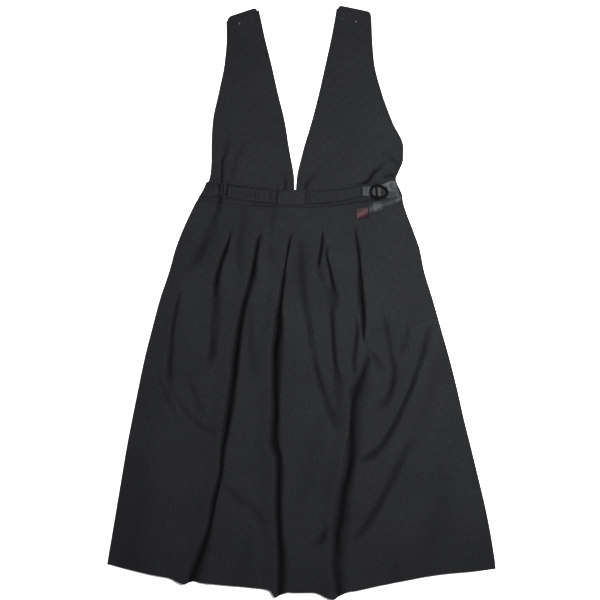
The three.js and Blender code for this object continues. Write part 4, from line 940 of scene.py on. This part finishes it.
def bib_rise(side, x, y):
    outer, inner = bib[side + "Outer"](y), bib[side + "Inner"](y)
    t = (x - outer) / (inner - outer)
    near_seam = smooth((y - waist["top"](x) - 2) / 30)
    lift = 1.2 * smooth(t / 0.3) * smooth((1 - t) / 0.3) * near_seam
    for which, x0, y0, x1, y1, depth, width, raised, reach in BIB_CREASES:
        if which != side:
            continue
        length = math.hypot(x1 - x0, y1 - y0)
        s = ((x - x0) * (x1 - x0) + (y - y0) * (y1 - y0)) / length
        d = ((x - x0) * (y1 - y0) - (y - y0) * (x1 - x0)) / length
        here = smooth(s / (length * 0.4)) * smooth((length * 1.1 - s) / (length * 0.3))
        lift = lift + raised * here * np.exp(-(d / reach) ** 2) * smooth(near_seam * 1.5)
        lift = lift - depth * here * np.exp(-(d / width) ** 2) * smooth(near_seam * 2.2)
    for which, low, high, at, depth, width, _, roll_left, roll_right in BIB_CURVES:
        if which != side:
            continue
        d = (x - at(y)) * slant(at, np.clip(y, low + 4, high - 4))
        w, h = width(y), depth(y) * (y < high) * smooth((near_seam + 0.04) * 5)
        grow = np.minimum(1.0, h / 1.5)
        lift = lift + grow * (roll_left * np.exp(-((d + 2.4 * w) / (1.9 * w)) ** 2) + roll_right * np.exp(-((d - 2.4 * w) / (1.9 * w)) ** 2))
        lift = lift - h * np.exp(-(np.abs(d) / w) ** 1.6)
    lift = lift + near_seam * (0.40 * field(x, y, 70, 13) + 0.22 * field(x, y, 28, 17, 1.5) + 0.07 * field(x, y, 12, 19))
    # turned and stitched edges stand a little proud, with a dip at the stitching
    scale = np.abs(inner - outer)
    from_edge = np.minimum(t, 1 - t) * scale
    lift = lift + 0.38 * (1 - smooth((from_edge - 4.6) / 1.6)) - 0.30 * np.exp(-((from_edge - 5.2) / 0.9) ** 2)
    return np.maximum(lift, 0)


def tab_top(side, x, lower=0.0):
    (ax, ay), (bx, by) = TABS[side]
    t = (x - ax) / (bx - ax)
    from_end = np.minimum(np.maximum(0, x - ax), np.maximum(0, bx - x))
    c = np.maximum(0, TAB_CORNER - from_end)
    return lerp(ay, by, t) - (TAB_CORNER - np.sqrt(np.maximum(0, TAB_CORNER ** 2 - c ** 2))) - lower


def bib_grid(side, cols, rows, inset, lower, shift=0.0):
    left, right = ("leftOuter", "leftInner") if side == "left" else ("rightInner", "rightOuter")
    s = spaced(130.0, cols, [0, 0.3, 0.8, 1.6, 2.6, 3.6, 4.4, 5.0, 5.6, 6.4, 7.6, 9.4])[None, :]
    v = spaced(360.0, rows, [0, 0.3, 0.8, 1.6, 2.6, 3.6, 4.4, 5.0, 5.6, 6.4, 7.6, 9.4])[:, None]
    y = np.full((v.shape[0], s.shape[1]), 400.0)
    for _ in range(9):
        x = lerp(bib[left](y) + inset, bib[right](y) - inset, s)
        y = lerp(tab_top(side, x, lower), waist["top"](x) + 2 * SEAM + shift, v)
    return lerp(bib[left](y) + inset, bib[right](y) - inset, s), y


bibs = {}
for side in ("left", "right"):
    x, y = bib_grid(side, 44, 110, 0, 0)
    rise = bib_rise(side, x, y)
    from_top = tab_top(side, x) - y
    rise = rise + 0.38 * (1 - smooth((from_top - 4.6) / 1.6)) - 0.30 * np.exp(-((from_top - 5.2) / 0.9) ** 2)
    z = FRONT_MID - (CLOTH - SHELL) / 2 + np.maximum(rise, 0)
    z = z - 0.35 * smooth(1 - (y - waist["top"](x) - 2 * SEAM) / 2.2) * (z > FRONT_MID + 0.2)
    bibs[side] = cloth_shell(f"bib_front_{side}_cloth", np.stack([x, y, z], -1), SHELL, painted_shade=bib_painted_shade(side, x, y))
    finish_piece(bibs[side], CLOTH_FRONT, f"bib_front_{side}")
    x, y = bib_grid(side, 26, 60, INSET, 3, BACK_SHIFT)
    z = np.full_like(x, SHELL / 2 + 0.02)
    back = cloth_shell(f"bib_back_{side}_cloth", np.stack([x, y, z], -1), SHELL)
    finish_piece(back, CLOTH_BACK, f"bib_back_{side}")
    bibs["back_" + side] = back

# ------------------------------------------------------------------ tape, ring, studs


def strip(rows_table, across, along, heights):
    """Strip between its two edge lines; heights(s, t) gives its middle height: s along, t across."""
    table = np.array(rows_table, float)
    centre = (table[:, 0:2] + table[:, 2:4]) / 2
    s = np.concatenate([[0], np.cumsum(np.linalg.norm(np.diff(centre, axis=0), axis=1))])
    s /= s[-1]
    even = spaced(100.0, along, [0, 0.5, 1.2, 2.4])
    edges = []
    for k in range(4):
        edges.append(Column(np.stack([s, table[:, k]], -1), 1)(even))
    t = spaced(20.0, across, [0, 0.25, 0.6, 1.2])[:, None]
    x = lerp(edges[0][None, :], edges[2][None, :], t)
    y = lerp(edges[1][None, :], edges[3][None, :], t)
    ss, tt = np.broadcast_to(even[None, :], x.shape), np.broadcast_to(t, x.shape)
    if x[0, -1] < x[0, 0]:   # columns run to the right
        x, y, ss, tt = (m[:, ::-1].copy() for m in (x, y, ss, tt))
    return np.stack([x, y, heights(ss, tt, x, y)], -1)


def run_height(s, t, x, y):
    base = BELT_LOW + TAPE / 2
    in_left_slot = np.exp(-((x - 147.2) / 3.4) ** 2)
    in_right_slot = np.exp(-((x - 157.2) / 4.2) ** 2)
    under_rim = smooth((x - 166) / 10)
    crease = 2.6 * np.exp(-((t - 0.30) / 0.20) ** 2) * smooth((x - 176) / 8)
    fall = 1.6 * smooth((x - 186) / 12)
    inside = smooth(t / 0.15) * smooth((1 - t) / 0.15)
    return base + (1.4 * in_left_slot + 1.4 * in_right_slot) * inside + crease * under_rim - 0.4 * fall * under_rim + 0.3 * under_rim + 0.25 * under_rim * field(x, y, 9, 51)


def tail_height(s, t, x, y):
    base = BELT_LOW + 0.9 + TAPE / 2 + 1.1 * smooth((x - 158) / 22)
    roll = 1.5 * np.exp(-((s - 0.60) / 0.16) ** 2) * np.sin(math.pi * np.clip(t, 0, 1))
    cup = 0.7 * np.sin(math.pi * np.clip(t, 0, 1))
    return base + roll + cup + 0.2 * field(x, y, 9, 53)


def run_dark(x, y):
    """Darkness of the tape's run: in the ring's shade, and low down where it turns over."""
    out = 0.12 + 0.22 * smooth((144 - x) / 6) + 0.16 * smooth((x - 141) / 5) * smooth((161 - x) / 4)
    out = np.maximum(out, 1.0 * np.exp(-(((x - 166.6) / 7.0) ** 6 + ((y - 220) / 12) ** 4)))
    low = smooth((x - 169) / 6) * smooth((226 - y) / 8)
    return np.maximum(out, 0.56 * low * (1 - 0.55 * smooth((x - 188 - 0.2 * (212 - y)) / 6)))


def tail_dark(x, y):
    """Painted shade over the hanging tail, left off where it rolls up towards the light, which leaves a painted
    highlight there.
    """
    painted_highlight = np.exp(-((x - 152) / 10.0) ** 2 - ((y - 191) / 9.0) ** 2)
    return np.clip(0.06 + 0.44 * (1 - painted_highlight) - 0.22 * smooth((x - 189) / 6), 0, 1)


def tip_height(s, t, x, y):
    return BELT_LOW + 0.9 + TAPE / 2 + 0.5 * np.sin(math.pi * np.clip(t, 0, 1)) + 0.3


grid = strip(TAPE_RUN, 26, 70, run_height)
tape_run = cloth_shell("tape_run_tape", grid, TAPE * 0.8, painted_shade=run_dark(grid[..., 0], grid[..., 1]))
finish_piece(tape_run, GLOSS, "tape_run")
grid = strip(TAPE_TAIL, 26, 70, tail_height)
tape_tail = cloth_shell("tape_tail_tape", grid, TAPE * 0.8, painted_shade=tail_dark(grid[..., 0], grid[..., 1]))
finish_piece(tape_tail, GLOSS, "tape_tail")
tape_tip = cloth_shell("tape_tip_cloth", strip(TAPE_TIP, 20, 26, tip_height), TAPE + 0.3)
finish_piece(tape_tip, RED, "tape_tip")


def ring_mesh():
    def outline(grow, a):
        px = (RING["half"] - grow) * np.cos(a) * (1 + 0.04 * np.cos(a))
        py = (RING["rise"] - grow) * np.sin(a) * (1 - 0.18 * np.cos(a))
        c, s = math.cos(RING["tilt"]), math.sin(RING["tilt"])
        return px * c - py * s, px * s + py * c

    around, section = 112, 18
    a = np.linspace(0, 2 * math.pi, around, endpoint=False)
    b = np.linspace(0, 2 * math.pi, section, endpoint=False)
    grow = RING["rim"] / 2 * (1 - np.sign(np.cos(b)) * np.abs(np.cos(b)) ** 0.8)
    height = RING["thick"] / 2 * np.sign(np.sin(b)) * np.abs(np.sin(b)) ** 0.8
    px, py = outline(grow[None, :], a[:, None])
    z0 = BELT_LOW + TAPE + GAP + RING["thick"] / 2
    verts = np.stack([px + RING["x"], py + RING["y"], np.broadcast_to(z0 + height[None, :], px.shape)], -1).reshape(-1, 3)
    i, j = np.meshgrid(np.arange(around), np.arange(section), indexing="ij")
    i2, j2 = (i + 1) % around, (j + 1) % section
    faces = np.stack([i * section + j, i2 * section + j, i2 * section + j2, i * section + j2], -1).reshape(-1, 4)
    # the bar, from rim to rim
    steps, sides = 26, 12
    yy = np.linspace(-RING["rise"] + 2.6, RING["rise"] - 2.6, steps)
    c = np.linspace(0, 2 * math.pi, sides, endpoint=False)
    bx = RING["barX"] + RING["bar"] / 2 * np.cos(c)[None, :] - 0.06 * yy[:, None]
    bz = z0 + 1.15 * np.sin(c)[None, :] + 0 * bx
    by = np.broadcast_to(yy[:, None], bx.shape)
    more = np.stack([bx + RING["x"], by + RING["y"], bz], -1).reshape(-1, 3)
    base = len(verts)
    bi, bj = np.meshgrid(np.arange(steps - 1), np.arange(sides), indexing="ij")
    bj2 = (bj + 1) % sides
    bar_faces = base + np.stack([bi * sides + bj, bi * sides + bj2, (bi + 1) * sides + bj2, (bi + 1) * sides + bj], -1).reshape(-1, 4)
    ends = np.array([[RING["x"] + RING["barX"] - 0.06 * yy[0], RING["y"] + yy[0], z0], [RING["x"] + RING["barX"] - 0.06 * yy[-1], RING["y"] + yy[-1], z0]])
    tri = []
    first, last = base + len(more), base + len(more) + 1
    for k in range(sides):
        tri.append((first, base + (k + 1) % sides, base + k))
        tri.append((last, base + (steps - 1) * sides + k, base + (steps - 1) * sides + (k + 1) % sides))
    mesh = bpy.data.meshes.new("ring_moulded")
    allv = np.concatenate([verts, more, ends]) * MM
    mesh.from_pydata(allv.tolist(), [], faces.tolist() + bar_faces.tolist() + tri)
    mesh.polygons.foreach_set("use_smooth", np.full(len(mesh.polygons), True))
    mesh.update()
    return link("ring_moulded", mesh)


ring = ring_mesh()
finish_piece(ring, BLACK, "ring")


def outward(obj):
    """Faces of a closed mesh turned to point out."""
    import bmesh
    bm = bmesh.new()
    bm.from_mesh(obj.data)
    bmesh.ops.recalc_face_normals(bm, faces=bm.faces)
    bm.to_mesh(obj.data)
    bm.free()


outward(ring)


def stud_mesh(name, at_x, at_y, at_z):
    profile = [(0.0, 0.62), (0.75, 0.66), (1.1, 0.86), (1.5, 1.0), (1.9, 0.94), (2.25, 0.66), (2.42, 0.36), (2.5, 0.14), (2.5, 0.0), (0.0, 0.0)]
    seg = 36
    a = np.linspace(0, 2 * math.pi, seg, endpoint=False)
    verts = [(at_x, at_y, at_z + profile[0][1])]
    for r, h in profile[1:-1]:
        verts += [(at_x + r * math.cos(k), at_y + r * math.sin(k), at_z + h) for k in a]
    verts.append((at_x, at_y, at_z))
    rings = len(profile) - 2
    faces = [(0, 1 + k, 1 + (k + 1) % seg) for k in range(seg)]
    for q in range(rings - 1):
        for k in range(seg):
            p0, p1 = 1 + q * seg + k, 1 + q * seg + (k + 1) % seg
            faces.append((p0, p0 + seg, p1 + seg, p1))
    last = len(verts) - 1
    faces += [(last, 1 + (rings - 1) * seg + (k + 1) % seg, 1 + (rings - 1) * seg + k) for k in range(seg)]
    mesh = bpy.data.meshes.new(name)
    mesh.from_pydata([tuple(c * MM for c in v) for v in verts], [], faces)
    mesh.polygons.foreach_set("use_smooth", np.full(len(mesh.polygons), True))
    mesh.update()
    obj = link(name, mesh)
    outward(obj)
    return obj


for at_x, at_y, node in STUDS:
    side = "left" if at_x < 0 else "right"
    top = FRONT_MID - (CLOTH - SHELL) / 2 + float(bib_rise(side, np.array([at_x]), np.array([at_y]))[0]) + SHELL / 2
    # stud_2 and stud_3 take the darker, duller copy of the stud finish: painted shade, as they catch no highlight
    finish_piece(stud_mesh(node + "_cap", at_x, at_y, top + 0.05), STUD_PAINTED_DIM if node in ("stud_2", "stud_3") else METAL, node)

# ------------------------------------------------------------------ stitching


def stitch_line(points, pitch=3.2, length=2.3, radius=0.24):
    """Dashes along a line of surface points (mm). Returns vertices and triangles."""
    p = np.asarray(points, float)
    s = np.concatenate([[0], np.cumsum(np.linalg.norm(np.diff(p, axis=0), axis=1))])
    starts = np.arange(pitch * 0.4, s[-1] - length, pitch)
    verts, faces = [], []
    sides = 5
    ring = [(math.cos(2 * math.pi * k / sides), math.sin(2 * math.pi * k / sides)) for k in range(sides)]
    for a in starts:
        at = [np.array([np.interp(a + f * length, s, p[:, k]) for k in range(3)]) for f in (0.0, 0.22, 0.78, 1.0)]
        d = at[3] - at[0]
        d /= np.linalg.norm(d) + 1e-9
        side = np.cross(d, (0, 0, 1.0))
        side /= np.linalg.norm(side) + 1e-9
        up = np.cross(side, d)
        base = len(verts)
        verts.append(at[0] - up * radius * 0.8)
        for c in at[1:3]:
            for cx, cy in ring:
                verts.append(c + side * cx * radius + up * (cy * radius * 0.8 + radius * 0.15))
        verts.append(at[3] - up * radius * 0.8)
        for k in range(sides):
            k2 = (k + 1) % sides
            faces.append((base, base + 1 + k2, base + 1 + k))
            faces.append((base + 1 + k, base + 1 + k2, base + 1 + sides + k2))
            faces.append((base + 1 + k, base + 1 + sides + k2, base + 1 + sides + k))
            faces.append((base + 1 + 2 * sides, base + 1 + sides + k, base + 1 + sides + k2))
    return verts, faces


def stitches(name, lines, **kw):
    verts, faces = [], []
    for line in lines:
        v, f = stitch_line(line, **kw)
        faces += [tuple(i + len(verts) for i in t) for t in f]
        verts += v
    obj = polygons(name, np.array(verts), np.array(faces))
    finish_piece(obj, THREAD)
    outward(obj)
    return obj


def on_bib(side, from_edge, edge, y0, y1, count=160):
    y = np.linspace(y0, y1, count)
    column = bib[side + edge](y)
    other = bib[side + ("Inner" if edge == "Outer" else "Outer")](y)
    x = column + np.sign(other - column) * from_edge
    z = FRONT_MID - (CLOTH - SHELL) / 2 + bib_rise(side, x, y) + SHELL / 2
    return np.stack([x, y, z], -1)


for side in ("left", "right"):
    low = {"left": {"Inner": 229, "Outer": 243}, "right": {"Inner": 229, "Outer": 250}}[side]
    high = {"left": {"Inner": 582, "Outer": 563}, "right": {"Inner": 586, "Outer": 573}}[side]
    lines = [on_bib(side, 5.2, e, high[e], low[e]) for e in ("Inner", "Outer")]
    (ax, _), (bx, _) = TABS[side]
    x = np.linspace(ax + 6.5, bx - 6.5, 40)
    y = tab_top(side, x) - 5.2
    lines.append(np.stack([x, y, FRONT_MID - (CLOTH - SHELL) / 2 + bib_rise(side, x, y) + SHELL / 2 - 0.1], -1))
    stitches(f"stitch_bib_{side}", lines)


def on_skirt(x, y, extra=0.0):
    lift, _ = skirt_rise(x, y)
    return np.stack([x, y, FRONT_MID - (CLOTH - SHELL) / 2 + lift + SHELL / 2 + extra], -1)


tuck_lines = []
for name in ("p1", "p2", "p3", "p4", "p5"):
    y = np.linspace(187, 141, 24)
    tuck_lines.append(on_skirt(G[name](y) - 2.4, y))
x = np.linspace(-200, 196, 240)
tuck_lines.append(on_skirt(x, waist["bottom"](x) - SEAM - 3.6))
stitches("stitch_yoke", tuck_lines)

x = np.linspace(-200, 198, 260)
y = waist["bottom"](x) + SEAM + 2.2
band_top = FRONT_MID - (CLOTH - SHELL) / 2 + 0.35 + SHELL / 2
stitches("stitch_waist", [np.stack([x, y, np.full_like(x, band_top)], -1)])

# ------------------------------------------------------------------ cloth sheets: flat size, how each lies, what it rests on and its area
SHEETS = [
    (skirt_front, (0.90, 0.79), "laid", [skirt_back], 0.50),
    (skirt_back, (0.775, 0.78), "laid", ["floor"], 0.47),
    (waistband_front, (0.405, 0.034), "laid", [waistband_back], None),
    (waistband_back, (0.402, 0.034), "laid", ["floor"], None),
    (bibs["left"], (0.171, 0.364), "laid", [bibs["back_left"]], 0.040),
    (bibs["right"], (0.214, 0.370), "laid", [bibs["back_right"]], 0.045),
    (bibs["back_left"], (0.168, 0.359), "laid", ["floor"], 0.039),
    (bibs["back_right"], (0.211, 0.365), "laid", ["floor"], 0.044),
]
for obj, flat, held, rests, area in SHEETS:
    rests = [r if isinstance(r, str) else r.name for r in rests if r != "floor"]
